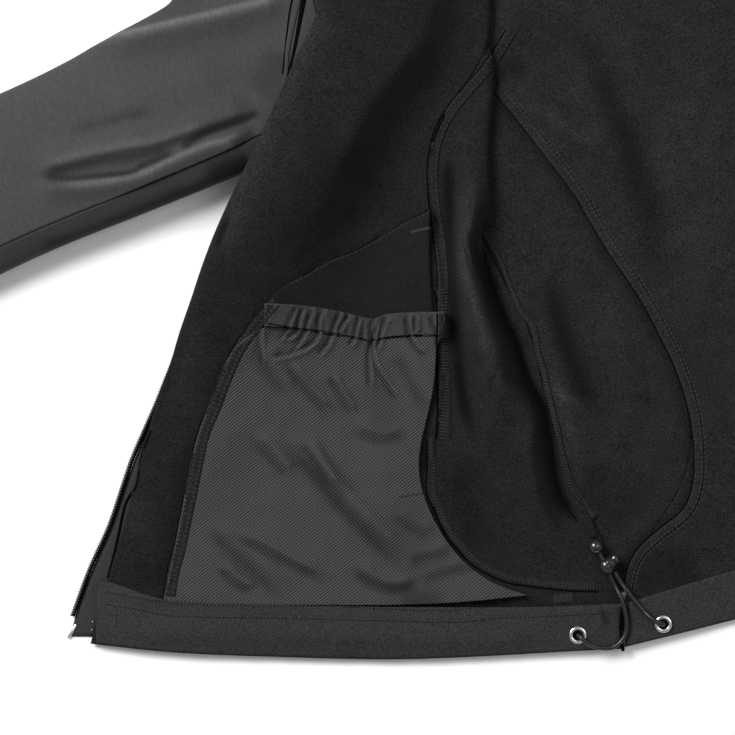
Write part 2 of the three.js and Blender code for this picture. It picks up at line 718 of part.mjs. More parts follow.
// Zip half of the opened front: tape, coil and the pin at its foot
const tapeWidth = 14;
const coilWidth = 2.1;
const coilHeight = 2.2;
const pinThickness = 1.8;
const tapeEdge = [
  { up: 2, across: -296 }, { up: 13, across: -294 }, { up: 38.6, across: -284.5 }, { up: 62, across: -274 },
  { up: 87, across: -265.5 }, { up: 101, across: -260.5 }, { up: 126, across: -249.5 },
  { up: 160, across: -235 }, { up: 193, across: -215 }, { up: 226, across: -200 },
  { up: 279, across: -176 },
  { up: 348, across: -143 }, { up: 420, across: -128 }, { up: 500, across: -117 },
  { up: 560, across: -112 },
  { up: 626, across: -108 },
];
const pinRows = [2, 12.4];
const coilRows = spread(13, 626, 31);
const tapeRows = [pinRows[0], ...coilRows];
const tapeReach = 8;
layer(
  piece(
    "zip_tape_right",
    laidWall(
      stripPlan(
        tapeRows.map((up) => ({ up, from: acrossAt(tapeEdge, up), to: acrossAt(tapeEdge, up) + tapeWidth })),
        1,
        opened,
      ),
      tapeReach,
      tapeThickness,
    ),
    zipTape,
  ),
  piece(
    "zip_coil_right",
    laidWall(
      stripPlan(
        coilRows.map((up) => {
          const to = acrossAt(tapeEdge, up) - seamGap;
          return { up, from: to - coilWidth, to };
        }),
        1,
        opened,
      ),
      tapeReach,
      coilHeight,
    ),
    blackPlastic,
  ),
  piece(
    "zip_pin",
    laidWall(
      stripPlan(
        pinRows.map((up) => {
          const to = acrossAt(tapeEdge, up) - seamGap;
          return { up, from: to - pinThickness, to };
        }),
        1,
        opened,
      ),
      0,
      pinThickness,
    ),
    silver,
  ),
);

// Upper layer of the opened front
const frontRows = rowsUp.map((up) => (up === seamTurnUp ? up + 0.5 : up));
const sideRows = rowsUp.filter((up) => up > hemBand - 1 && up <= armholeFootUp)
  .map((up) => (up === seamTurnUp ? up - 0.5 : up));
const underWidth = (up) => read(rolledUnder, up, "up", "width");
const edgeStart = (up) => acrossAt(openEdge, up) + Math.min(rollDepth, underWidth(up));

const underPlan = frontRows.map((up) => {
  const from = edgeStart(up) + underWidth(up);
  return spread(from, edgeStart(up), columnsOf.under).map((across) => openedRow(across, up));
});
const underHeights = rest(underPlan, tapeReach);
const hasUnder = (up) => underWidth(up) > 1;
const underStations = stationsBelow(underPlan, underHeights);
const upwards = (stations) => reversedRows(stations).map((row) => row.map((s) => ({ ...s, facing: UP })));
pile.put(wall(upwards(underStations.filter((_, i) => hasUnder(frontRows[i])))));

const seamLead = 9;
const foldLimit = (up) => (up > foldStartUp ? foldFoot(up) + (up < seamTurnUp ? seamLead : 0) : Infinity);
const frontUpper = drawIn(
  frontRows.map((up) => {
    const end = up <= hemBand ? sideAt(up) : Math.min(seamAt(up), foldLimit(up));
    return spread(edgeStart(up), end, columnsOf.upper).map((across) => openedRow(across, up));
  }),
  ["right"],
);
const sideUpper = drawIn(
  sideRows.filter((up) => up < seamTurnUp).map((up) => {
    const end = up > foldStartUp ? foldFoot(up) : sideAt(up);
    return spread(Math.min(seamAt(up), end), end, columnsOf.sideUpper).map((across) => opened(across, up));
  }),
  ["left"],
);

// Spare cloth stands up as a ridge beside the side seam, and the fold is plump.
function spareCloth(point) {
  const { across, up } = measured(point);
  let height = 0;
  if (up > sideRidge[0].up && up < sideRidge[sideRidge.length - 1].up) {
    const away = (across - acrossAt(sideRidge, up)) / read(sideRidge, up, "up", "halfWidth");
    height += read(sideRidge, up, "up", "height") * Math.exp(-2 * away * away);
  }
  const plump = THREE.MathUtils.smoothstep(up, foldStartUp - 40, foldStartUp + 30);
  const fromFold = acrossAt(foldLine, up) - across;
  height += foldPlumpness * plump * Math.exp(-Math.pow(fromFold / foldPlumpWidth, 2));
  return height;
}

const upperReach = 16;
const frontUpperHeights = rest(frontUpper, upperReach, spareCloth);
const sideUpperHeights = rest(sideUpper, upperReach / 2, spareCloth);
const stationsOf = (plan, heights, thickness) =>
  plan.map((row, i) =>
    row.map((point, j) => ({
      middle: new THREE.Vector3(point.x, point.y, heights[i][j] + thickness / 2),
      facing: UP,
      thickness,
    })),
  );
const frontUpperStations = stationsOf(frontUpper, frontUpperHeights, clothThickness);
const sideUpperStations = stationsOf(sideUpper, sideUpperHeights, clothThickness);
const repeated = (station, count) => Array.from({ length: count }, () => station);

// Joins the stretches of each row; a stretch that a row lacks is closed up at its neighbour.
const frontStations = frontRows.map((up, i) => {
  const upper = frontUpperStations[i];
  const first = upper[0];
  const last = upper[upper.length - 1];
  const under = hasUnder(up)
    ? [
        ...underStations[i],
        ...rolled(first.middle, underStations[i][columnsOf.under].middle, towardsZip).reverse(),
      ]
    : repeated(first, columnsOf.under + 1 + columnsOf.roll);
  const belowRow = frontRowsBelow.indexOf(up);
  const below = belowRow >= 0
    ? [
        ...rolled(last.middle, frontBelowStations[belowRow][0].middle, acrossDirection),
        ...frontBelowStations[belowRow],
      ]
    : repeated(last, columnsOf.roll + columnsOf.below + 1);
  return [...under, ...upper, ...below];
});
const sideStations = sideRows.map((up, i) => {
  const upper = sideUpperStations[i];
  const belowRow = sideRowsBelow.indexOf(up > seamTurnUp - 1 && up < seamTurnUp ? seamTurnUp : up);
  const below = belowRow >= 0 ? sideBelowStations[belowRow] : undefined;
  if (!upper) return [...repeated(below[0], columnsOf.sideUpper + 1 + columnsOf.roll), ...below];
  const last = upper[upper.length - 1];
  if (!below) return [...upper, ...repeated(last, columnsOf.roll + columnsOf.below + 1)];
  return [...upper, ...rolled(last.middle, below[0].middle, acrossDirection), ...below];
});
layer(
  piece("front_right", wall(frontStations), fleece),
  piece("side_front_right", wall(sideStations), fleece),
);

// Pocket on the opened front: the hand pocket's bag, the mesh over it and the elastic casing
const pocketFoot = 20;
const pocketSide = [
  [-48, 25], [-66, 30.5], [-80, 40], [-91, 52], [-99, 66], [-107, 86], [-107, 103], [-100, 131], [-97.5, 150],
  [-97.5, 171],
];
const openedPoints = (points) => points.map(([across, up]) => pair(opened(across, up)));
const pocketSeamPoints = (top) =>
  pocketSeam.filter((row) => row.up <= top).map((row) => [row.across, row.up]);
const casingPoints = (rise) => casingLine.map((row) => [row.across, row.up + rise]);

function pocketPlan(sideTop, topPoints, sideEnd, steps) {
  const side = [...pocketSide, ...sideEnd];
  return coons(
    edge({ through: openedPoints([[-245.5, pocketFoot], [-110, pocketFoot], side[0]]), steps: steps.across }),
    edge({ through: openedPoints(topPoints), steps: steps.across }),
    edge({ through: openedPoints([...pocketSeamPoints(sideTop), topPoints[0]]), steps: steps.up }),
    edge({ through: openedPoints([...side, topPoints[topPoints.length - 1]]), steps: steps.up }),
  );
}

const bagPlan = pocketPlan(
  180,
  bagTop.map((row) => [row.across, row.up]),
  [[-101.5, 195]],
  { across: 8, up: 9 },
);
layer(piece("pocket_bag_right", laidWall(bagPlan, 7, liningThickness), facingCloth));

// A fold is a soft ridge along a line, strongest in its middle.
function foldRelief(point) {
  const { across, up } = measured(point);
  return meshFolds.reduce((height, fold) => {
    const runX = fold.toAcross - fold.fromAcross;
    const runY = fold.toUp - fold.fromUp;
    const length = Math.hypot(runX, runY);
    const along = ((across - fold.fromAcross) * runX + (up - fold.fromUp) * runY) / (length * length);
    const away = ((across - fold.fromAcross) * runY - (up - fold.fromUp) * runX) / length;
    if (along < 0 || along > 1) return height;
    return height + fold.depth * Math.sin(Math.PI * along) * Math.exp(-Math.pow(away / fold.width, 2));
  }, 0);
}

const meshPlan = drawIn(
  pocketPlan(167, casingPoints(-casingHeight / 2), [], { across: 15, up: 11 }),
  ["top"],
);
function gatherRelief(point) {
  const { across } = measured(point);
  const full = casingFullness * Math.min(1, (across + 196) / 14, (-90 - across) / 8);
  return gathers.reduce(
    (height, gather) => height - gather.depth * Math.exp(-Math.pow((across - gather.across) / 1.5, 2)),
    Math.max(0, full),
  );
}
const casingPlan = coons(
  ...[-casingHeight / 2, casingHeight / 2].map((rise) =>
    edge({ through: openedPoints(casingPoints(rise)), steps: 46 }),
  ),
  ...[0, casingLine.length - 1].map((end) =>
    edge({
      through: openedPoints([-casingHeight / 2, casingHeight / 2].map((rise) => casingPoints(rise)[end])),
      steps: 2,
    }),
  ),
);
layer(
  piece("mesh_pocket_right", laidWall(meshPlan, 8, liningThickness, foldRelief), meshKnit),
  piece(
    "pocket_casing_right",
    laidWall(drawIn(casingPlan, ["bottom"]), 8, liningThickness, (point) => Math.max(0, gatherRelief(point))),
    facingCloth,
  ),
);

// Hem facings: the shell cloth turned up inside the hem, parted at the side seam
const bandSeam = { foot: 3.2, top: 6 };
const facingReach = { front: 9, back: 10 };
const facingTop = [
  [-281, 34], [-274.8, 32.7], [-255.8, 25.6], [-244.9, 22.3], [-200, 20.2], [-117, 18.6], [-42, 18.6],
  [bandSeam.top, 20.5],
];
const facingFoot = [-282, -240, -180, -117, -53, -10, bandSeam.foot].map((across) => [
  across,
  0.4 - read(hemDip, across, "across", "dip"),
]);
const frontFacingPlan = coons(
  edge({ through: openedPoints(facingFoot), steps: 22 }),
  edge({ through: openedPoints(facingTop), steps: 22 }),
  edge({ through: openedPoints([facingFoot[0], facingTop[0]]), steps: 2 }),
  edge({ through: openedPoints([facingFoot[facingFoot.length - 1], facingTop[facingTop.length - 1]]), steps: 2 }),
);
const backHemPoints = (rise) => {
  const end = opened(rise > 1 ? bandSeam.top + 0.6 : bandSeam.foot + 1.2, rise > 1 ? 21 : -3.2);
  return [
    pair(end), [-200, rise - 16], [-100, rise - hemDrop + 3], [0, rise - hemDrop],
    [100, rise - hemDrop + 3], [200, rise - 16], [restingHemFoot[0] - 1, restingHemFoot[1] + rise],
  ];
};
const backFacingPlan = coons(
  edge({ through: backHemPoints(0.4), steps: 28 }),
  edge({ through: backHemPoints(hemBand), steps: 28 }),
  edge({ through: [backHemPoints(0.4)[0], backHemPoints(hemBand)[0]], steps: 2 }),
  edge({ through: [backHemPoints(0.4)[6], backHemPoints(hemBand)[6]], steps: 2 }),
);
layer(
  piece(
    "hem_facing_front_right",
    laidWall(drawIn(frontFacingPlan, ["right"]), facingReach.front, facingThickness),
    softshell,
  ),
  piece(
    "hem_facing_back",
    laidWall(drawIn(backFacingPlan, ["left"]), facingReach.back, facingThickness),
    softshell,
  ),
);

// Eyelets in the facings on both sides of the side seam
function eyelet(name, place) {
  const profile = [
    [eyeletInner, 0], [eyeletOuter, 0], [eyeletOuter, 0.35 * eyeletHeight],
    [eyeletOuter - 0.7, 0.85 * eyeletHeight], [(eyeletOuter + eyeletInner) / 2, eyeletHeight],
    [eyeletInner + 0.3, 0.7 * eyeletHeight], [eyeletInner, 0],
  ];
  const geometry = new THREE.LatheGeometry(profile.map(([x, y]) => new THREE.Vector2(x, y)), 18);
  const centre = opened(place.across, place.up);
  const height = pile.heightAt(centre.x, centre.y, eyeletOuter) + seamGap;
  geometry.rotateX(Math.PI / 2).translate(centre.x, centre.y, height);
  return piece(name, geometry, silver);
}
layer(eyelet("eyelet_left", leftEyelet), eyelet("eyelet_right", rightEyelet));

// Loop tab sewn into the side seam, which holds the bead
const tabEnd = { across: -12.6, up: beadCentre.up + beadRadius + 0.6 };
const tabPlan = spread(0, 1, 4).map((t) => {
  const across = THREE.MathUtils.lerp(tabFoot.across, tabEnd.across, t);
  const up = THREE.MathUtils.lerp(tabFoot.up, tabEnd.up, t);
  return spread(-tabWidth / 2, tabWidth / 2, 1).map((offset) => opened(across - offset, up));
});
layer(piece("loop_tab", laidWall(tabPlan, 5, liningThickness), facingCloth));

// Drawcord: its free stretches between the eyelets, the lock and the bead, by hand-chosen points
const cordRoutes = {
  drawcord_left: [
    { across: -20.7, up: 3.3, lift: 0.4 }, { across: -19.4, up: 2.6, lift: 1.2 },
    { across: -17.4, up: 0.6, lift: 1.6 }, { across: -14.1, up: -1.6, lift: 0.6 },
    { across: -9.6, up: -3.2, lift: 0 }, { across: -4.4, up: -3.6, lift: 0 },
    { across: -0.6, up: -2.6, lift: 0 }, { across: 2.8, up: 0.2, lift: 0 }, { across: 5, up: 4.4, lift: 0.2 },
    { across: 5.6, up: 10, lift: 0.6 }, { across: 4.6, up: 17, lift: 1 }, { across: 2.4, up: 24, lift: 1.4 },
    { across: -0.4, up: 29.5, lift: 1.8 }, { across: -2.4, up: 33.4, lift: 2.4 },
  ],
  drawcord_right: [
    { across: 25.6, up: 9.3, lift: 0.4 }, { across: 24.3, up: 9.6, lift: 1.2 },
    { across: 22, up: 10.6, lift: 1.6 }, { across: 18.6, up: 13, lift: 1 },
    { across: 14.4, up: 17, lift: 0.6 }, { across: 10, up: 22, lift: 1 }, { across: 6, up: 27.2, lift: 1.4 },
    { across: 2.8, up: 31.6, lift: 2 }, { across: 1.2, up: 34, lift: 2.4 },
  ],
};
const cordRadius = cordDiameter / 2;

function tube(points, radius, sides, steps) {
  const route = new THREE.CatmullRomCurve3(points, false, "centripetal");
  const section = new THREE.Shape(
    spread(0, 2 * Math.PI, sides).slice(0, -1)
      .map((angle) => new THREE.Vector2(radius * Math.cos(angle), radius * Math.sin(angle))),
  );
  return new THREE.ExtrudeGeometry(section, { steps, extrudePath: route, bevelEnabled: false });
}

const cordReach = 1.5;
const cordMeshes = Object.entries(cordRoutes).map(([name, route]) => {
  const points = route.map(({ across, up, lift }) => {
    const point = opened(across, up);
    const below = pile.heightAt(point.x, point.y, cordReach);
    return new THREE.Vector3(point.x, point.y, below + cordRadius + seamGap + lift);
  });
  points[0].z -= eyeletHeight;
  return piece(name, tube(points, cordRadius, cordSides, 14), blackPlastic);
});

// Bead and cord lock lie on the cloth.
const onCloth = (place, reach, above) => {
  const point = opened(place.across, place.up);
  return new THREE.Vector3(point.x, point.y, pile.heightAt(point.x, point.y, reach) + seamGap + above);
};
const beadMiddle = onCloth(beadCentre, 3, beadRadius);
const lockMiddle = onCloth(lockCentre, 4, lockRadius);

const turnedToLock = (geometry) => {
  geometry.rotateZ(-Math.PI / 2).rotateZ(lockTurn - lean);
  return geometry.translate(lockMiddle.x, lockMiddle.y, lockMiddle.z);
};
const lathe = (profile, segments) =>
  new THREE.LatheGeometry(profile.map(([x, y]) => new THREE.Vector2(x, y)), segments);
const bore = buttonRadius + 0.35;
const boreFloor = -0.4;
const buttonFoot = boreFloor + buttonTravel + 0.5;
const lockProfile = [
  [0, -lockLength / 2], [2.6, -lockLength / 2], [4.2, -lockLength / 2 + 1], [lockRadius, -0.8],
  [lockRadius, 0.8], [4.3, lockLength / 2 - 0.7], [bore + 0.5, lockLength / 2], [bore, lockLength / 2],
  [bore, boreFloor], [0, boreFloor],
];
const buttonProfile = [
  [0, buttonFoot], [buttonRadius, buttonFoot], [buttonRadius, lockLength / 2 + 1.8],
  [buttonRadius - 0.7, lockLength / 2 + 2.9], [1, lockLength / 2 + 3.3], [0, lockLength / 2 + 3.3],
];
layer(
  piece("cord_lock", turnedToLock(lathe(lockProfile, 16)), blackPlastic),
  piece("cord_lock_button", turnedToLock(lathe(buttonProfile, 14)), blackPlastic),
);
const beadProfile = spread(-Math.PI / 2, Math.PI / 2, 8).map((angle) => [
  beadRadius * Math.max(0, Math.cos(angle)), beadRadius * Math.sin(angle),
]);
beadProfile[0][0] = 0;
beadProfile[8][0] = 0;
const beadGeometry = lathe(beadProfile, 14);
beadGeometry.rotateX(Math.PI / 2).translate(beadMiddle.x, beadMiddle.y, beadMiddle.z);
layer(piece("cord_bead", beadGeometry, blackPlastic));

const stemRun = beadMiddle.clone().sub(lockMiddle);
const stemDirection = stemRun.clone().normalize();
const stemStart = lockMiddle.clone().addScaledVector(stemDirection, lockRadius + 0.3);
const stemEnd = beadMiddle.clone().addScaledVector(stemDirection, -beadRadius - 0.3);
const stem = piece(
  "drawcord_end",
  tube([stemStart, stemStart.clone().lerp(stemEnd, 0.5), stemEnd], cordRadius, cordSides, 2),
  blackPlastic,
);
layer(...cordMeshes, stem);

// Closed left front, its side panel and sleeve
const frontNeckline = [[6.2, frontNeckY], [42, 663], [66, 685], [80, 711], [neckPoint.x, neckPoint.y]];
function frontLeftPlan() {
  const steps = { across: 5, neck: 5, shoulder: 3 };
  const flip = ([x, y]) => [-x, y];
  const foot = restingHemFoot;
  return coons(
    edge({ through: [[6.2, -2], [80, -2], [180, -1], foot], steps: steps.neck + steps.shoulder }),
    edge(
      { through: frontNeckline, steps: steps.neck },
      { through: [flip(neckTip), flip(shoulderTip)], steps: steps.shoulder },
    ),
    edge({ through: [[6.2, -2], [6.2, frontNeckY]], steps: 1 + seamSteps + 6 }),
    edge(
      { through: [foot, restingBackSeam[0]], steps: 1 },
      { through: restingBackSeam, steps: seamSteps },
      { through: armhole.map(flip), steps: 6 },
    ),
  );
}
const leftTape = stripPlan(
  spread(zipStart, 650, 16).map((up) => ({ up, from: -1, to: 13 })),
  1,
  (x, y) => new THREE.Vector2(x, y),
);
const leftCoil = stripPlan(
  spread(zipStart, 650, 16).map((up) => ({ up, from: -1 - seamGap - coilWidth, to: -1 - seamGap })),
  1,
  (x, y) => new THREE.Vector2(x, y),
);
layer(
  piece("zip_tape_left", laidWall(leftTape, 4, tapeThickness), zipTape),
  piece("zip_coil_left", laidWall(leftCoil, 4, coilHeight), blackPlastic),
);
layer(
  piece("front_left", laidWall(drawIn(frontLeftPlan()), 26, clothThickness), softshell),
  piece("side_front_left", laidWall(restingLeaf, 20, clothThickness), softshell),
);
const weltLine = restingBackSeam.slice(3, 8);
const weltPlan = edge({ through: weltLine, steps: 8 }).map(({ x, y }) =>
  [-weltWidth - 1, -1].map((offset) => new THREE.Vector2(x + offset, y)),
);
layer(piece("pocket_welt_left", laidWall(weltPlan, 10, facingThickness), softshell));
layer(...sleevePieces("left", leftSleeveRows, -1));

// Zip slider in its box at the foot of the left half, with a pull on a hinge bar
const zipX = -1 - seamGap - coilWidth / 2;
const zipFloor = pile.heightAt(zipX, sliderStart, 4) + seamGap;
const sliderTop = zipFloor + sliderHeight;
const hinge = new THREE.Vector3(zipX, (sliderStart + sliderEnd) / 2, sliderTop + knuckleRadius + 0.45);

function asSolid(geometry) {
  const bare = geometry.clone();
  bare.deleteAttribute("normal");
  bare.deleteAttribute("uv");
  const merged = mergeVertices(bare, 1e-4);
  return new wasm.Manifold(new wasm.Mesh({
    numProp: 3,
    vertProperties: new Float32Array(merged.getAttribute("position").array),
    triVerts: new Uint32Array(merged.index.array),
  }));
}

function asGeometry(solid) {
  const { vertProperties, triVerts } = solid.getMesh();
  const geometry = new THREE.BufferGeometry();
  geometry.setAttribute("position", new THREE.Float32BufferAttribute(vertProperties, 3));
  geometry.setIndex(Array.from(triVerts));
  geometry.computeVertexNormals();
  return geometry;
}

const block = (width, length, height, x, y, z) =>
  asSolid(new THREE.BoxGeometry(width, length, height).translate(x, y, z));
const crossBar = (radius, length) =>
  asSolid(
    new THREE.CylinderGeometry(radius, radius, length, 14).rotateZ(Math.PI / 2).translate(...hinge.toArray()),
  );

function plate(points, thickness) {
  const shape = new THREE.Shape(points.map(([x, y]) => new THREE.Vector2(x, y)));
  return new THREE.ExtrudeGeometry(shape, { depth: thickness, bevelEnabled: false });
}

function sliderSolid() {
  const half = sliderWidth / 2;
  const body = asSolid(
    plate(
      [
        [-half + 1.4, sliderStart], [half - 1.4, sliderStart], [half - 0.6, sliderStart + 3],
        [half, sliderEnd - 2.5], [half - 0.8, sliderEnd], [-half + 0.8, sliderEnd], [-half, sliderEnd - 2.5],
        [-half + 0.6, sliderStart + 3],
      ],
      sliderHeight,
    ).translate(zipX, 0, zipFloor),
  );
  const cheekHeight = hinge.z + hingeRadius + 0.5 - sliderTop + 0.5;
  const cheekX = knuckleLength / 2 + 0.3 + cheekThickness / 2;
  const cheeks = [-1, 1].map((side) =>
    block(cheekThickness, 4, cheekHeight, zipX + side * cheekX, hinge.y, sliderTop - 0.5 + cheekHeight / 2),
  );
  return body.add(cheeks[0]).add(cheeks[1]).add(crossBar(hingeRadius, 2 * cheekX));
}

function pullSolid() {
  const neck = knuckleLength / 2;
  const wide = pullWidth / 2;
  const outline = [
    [-neck, 0], [-neck, -4], [-wide, -7], [-wide, -pullLength + 2], [-wide + 1.5, -pullLength],
    [wide - 1.5, -pullLength], [wide, -pullLength + 2], [wide, -7], [neck, -4], [neck, 0],
  ];
  const leaf = asSolid(
    plate(outline.reverse(), pullThickness).translate(0, 0, -pullThickness / 2)
      .rotateX(pullTilt).translate(...hinge.toArray()),
  );
  return leaf.add(crossBar(knuckleRadius, knuckleLength)).subtract(
    crossBar(hingeRadius + hingeClearance, knuckleLength + 2),
  );
}

const zipBox = { length: 8, height: 3.6, middle: 4.7 };
piece(
  "zip_box",
  new THREE.BoxGeometry(sliderWidth - 1, zipBox.length, zipBox.height)
    .translate(zipX, zipBox.middle, zipFloor + zipBox.height / 2),
  blackPlastic,
);
piece("zip_slider", asGeometry(sliderSolid()), blackPlastic);
piece("zip_pull", asGeometry(pullSolid()), blackPlastic);

// Collar: the back part stands up from the back neck, the halves from each front's neckline
const collarBackPlan = coons(
  edge({ through: backNeckline, steps: 10 }),
  edge({
    through: [
      [-79, neckPoint.y + collarHeight], [-50, backNeckY + collarHeight + 4], [0, backNeckY + collarHeight],
      [50, backNeckY + collarHeight + 4], [79, neckPoint.y + collarHeight],
    ],
    steps: 10,
  }),
  edge({ through: [neckTip, [-79, neckPoint.y + collarHeight]], steps: 4 }),
  edge({ through: [[neckPoint.x, neckPoint.y], [79, neckPoint.y + collarHeight]], steps: 4 }),
);
layer(piece("collar_back", laidWall(drawIn(collarBackPlan), 0, collarThickness), fleece));

const collarLeftTop = [
  [6.2, frontNeckY + collarHeight], [40, 738], [60, 756], [74, 784], [79, neckPoint.y + collarHeight],
];
const collarLeftPlan = coons(
  edge({ through: frontNeckline, steps: 10 }),
  edge({ through: collarLeftTop, steps: 10 }),
  edge({ through: [frontNeckline[0], collarLeftTop[0]], steps: 4 }),
  edge({ through: [frontNeckline[4], collarLeftTop[4]], steps: 4 }),
);
const neckUp = [630, 752];
const collarRightPlan = spread(neckUp[0], neckUp[1], 8).map((up) =>
  spread(-collarHeight, 2, 4).map((offset) => opened(acrossAt(openEdge, up) + offset, up)),
);
layer(
  piece("collar_left", laidWall(drawIn(collarLeftPlan), 14, collarThickness), softshell),
  piece("collar_right", laidWall(collarRightPlan, 4, collarThickness), fleece),
);

const box = new THREE.Box3().setFromObject(garment);
const middle = box.getCenter(new THREE.Vector3());
garment.position.set(-middle.x, -middle.y, -box.min.z);
const model = new THREE.Group();
model.add(garment);

export default model;
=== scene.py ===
# Softshell jacket laid open on a table

import math

import bmesh
import bpy
import numpy as np
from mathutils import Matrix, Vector, noise
from mathutils.bvhtree import BVHTree


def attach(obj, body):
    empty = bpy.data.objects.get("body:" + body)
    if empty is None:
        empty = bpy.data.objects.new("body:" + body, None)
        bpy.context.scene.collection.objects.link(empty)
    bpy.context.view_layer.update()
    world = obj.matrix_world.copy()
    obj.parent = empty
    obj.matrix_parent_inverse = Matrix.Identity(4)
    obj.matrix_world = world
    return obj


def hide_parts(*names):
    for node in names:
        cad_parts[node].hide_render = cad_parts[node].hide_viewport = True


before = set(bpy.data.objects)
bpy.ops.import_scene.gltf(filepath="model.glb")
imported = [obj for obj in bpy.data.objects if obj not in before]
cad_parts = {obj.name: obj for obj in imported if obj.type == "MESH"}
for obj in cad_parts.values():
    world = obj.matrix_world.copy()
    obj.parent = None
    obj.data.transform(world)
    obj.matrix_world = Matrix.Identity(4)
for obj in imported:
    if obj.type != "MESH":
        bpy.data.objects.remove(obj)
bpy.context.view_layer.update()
bpy.ops.object.select_all(action="DESELECT")


# Table, camera and light. The jacket lies on a white table and is seen straight from above; the picture is
# turned 22 degrees to the garment. "across" and "up" are millimetres in the picture's directions, from the
# foot of the right side seam.
LEAN = math.radians(22)
SEAM_FOOT = (-248.788, -390.070)
SEAM_FOOT_PIXEL = (615, 640)
PIXELS_PER_MM = 1.8375
VIEW_CENTRE = (-134.69, 148.30)
CAMERA_HEIGHT = 1.5


def place(across, up, z=0.0):
    """The place in the frame, in metres, of a point given in the picture's directions."""
    x = SEAM_FOOT[0] + math.cos(LEAN) * across + math.sin(LEAN) * up
    y = SEAM_FOOT[1] - math.sin(LEAN) * across + math.cos(LEAN) * up
    return Vector((x / 1000, y / 1000, z / 1000))


def measured(points):
    """across and up of places in the frame: place() turned round."""
    x = points[:, 0] * 1000 - SEAM_FOOT[0]
    y = points[:, 1] * 1000 - SEAM_FOOT[1]
    return math.cos(LEAN) * x - math.sin(LEAN) * y, math.sin(LEAN) * x + math.cos(LEAN) * y


def picture(*pixels):
    """A path of pixels in the picture as a path of (across, up)."""
    x_foot, y_foot = SEAM_FOOT_PIXEL
    return [((x - x_foot) / PIXELS_PER_MM, (y_foot - y) / PIXELS_PER_MM) for x, y in pixels]


def linear(colour):
    values = [int(colour[i : i + 2], 16) / 255 for i in (1, 3, 5)]
    return [v / 12.92 if v <= 0.04045 else ((v + 0.055) / 1.055) ** 2.4 for v in values] + [1.0]


def add(tree, kind, settings=None, links=None):
    node = tree.nodes.new(kind)
    for key, value in (settings or {}).items():
        if isinstance(key, str) and hasattr(node, key):
            setattr(node, key, value)
        else:
            node.inputs[key].default_value = value
    for key, socket in (links or {}).items():
        tree.links.new(socket, node.inputs[key])
    return node


def new_material(name, settings):
    material = bpy.data.materials.new(name)
    material.use_nodes = True
    tree = material.node_tree
    shader = tree.nodes["Principled BSDF"]
    for key, value in settings.items():
        shader.inputs[key].default_value = value
    return material, tree, shader


def new_object(name, data):
    thing = bpy.data.objects.new(name, data)
    bpy.context.scene.collection.objects.link(thing)
    return thing


view = place(*VIEW_CENTRE)
camera_data = bpy.data.cameras.new("camera")
camera_data.sensor_width = 36
camera_data.lens = 135
camera_data.clip_end = 20
camera = new_object("camera", camera_data)
camera.location = (view.x, view.y, CAMERA_HEIGHT)
camera.rotation_euler = (0, 0, -LEAN)
bpy.context.scene.camera = camera
bpy.context.scene.view_settings.view_transform = "Standard"

bpy.ops.mesh.primitive_plane_add(size=8, location=(view.x, view.y, -0.0002))
table = bpy.context.object
table.name = "table"
white = new_material("matt_white_paper", {"Base Color": linear("#F4F4F4"), "Roughness": 0.9})[0]
table.data.materials.append(white)

world = bpy.data.worlds.new("soft_room")
bpy.context.scene.world = world
world.use_nodes = True
background = world.node_tree.nodes["Background"]
background.inputs["Color"].default_value = linear("#FFFFFF")
background.inputs["Strength"].default_value = 0.34


def softbox(name, at, target, size, power):
    light = bpy.data.lights.new(name, "AREA")
    light.shape = "RECTANGLE"
    light.size, light.size_y = size
    light.energy = power
    holder = new_object(name, light)
    holder.location = at
    holder.rotation_euler = (target - at).to_track_quat("-Z", "Y").to_euler()


softbox("softbox_top", view + Vector((-0.62, 1.05, 1.35)), view, (0.8, 0.8), 42)
softbox("softbox_side", view + Vector((1.0, -0.1, 1.5)), view, (0.7, 1.2), 6)


# Hem drawcord: a round elastic cord with a smooth braided cover. It comes out of the two eyelets and runs
# through the cord lock; the left end goes on to the bead. Only these free stretches exist outside the hem.
CORD_THICK = 0.0026
LEFT_ROUTE = [
    (-266.7, -379.3, 8.8), (-265.8, -380.4, 10.7), (-264.7, -383.0, 11.1), (-262.5, -386.3, 10.1),
    (-258.9, -389.4, 9.5), (-254.2, -391.8, 7.6), (-250.3, -392.3, 7.6), (-246.1, -390.9, 7.6),
    (-242.5, -387.9, 7.8), (-239.8, -382.9, 8.2), (-238.2, -376.0, 8.7), (-237.6, -368.7, 9.1),
    (-238.1, -362.6, 7.7), (-238.5, -358.2, 8.3), (-238.5, -350.2, 9.5), (-239.2, -345.1, 9.7),
    (-239.6, -341.0, 9.8),
]
RIGHT_ROUTE = [
    (-221.6, -391.0, 8.3), (-222.7, -390.3, 10.2), (-224.4, -388.5, 10.6), (-226.7, -385.0, 10.0),
    (-229.1, -379.7, 8.2), (-231.3, -373.4, 8.6), (-233.0, -367.1, 9.1), (-234.4, -361.8, 7.9),
    (-234.9, -359.0, 8.3), (-235.6, -354.5, 8.9),
]


def smooth_line(points, step):
    """A smooth curve through the points, as new points about one step apart."""
    p = np.array(points, float)
    ends = np.vstack([2 * p[0] - p[1], p, 2 * p[-1] - p[-2]])
    dense = []
    t = np.linspace(0, 1, 24, endpoint=False)[:, None]
    for a, b, c, d in zip(ends, ends[1:], ends[2:], ends[3:]):
        dense.append(
            0.5 * (2 * b + (c - a) * t + (2 * a - 5 * b + 4 * c - d) * t**2 + (3 * b - a - 3 * c + d) * t**3)
        )
    dense = np.vstack(dense + [p[-1:]])
    run = np.r_[0, np.cumsum(np.linalg.norm(np.diff(dense, axis=0), axis=1))]
    at = np.linspace(0, run[-1], max(2, int(round(run[-1] / step)) + 1))
    return np.column_stack([np.interp(at, run, dense[:, k]) for k in range(dense.shape[1])])


def directions(line):
    """The unit vector along a line at each of its points."""
    run = np.gradient(line, axis=0)
    return run / np.linalg.norm(run, axis=1)[:, None]


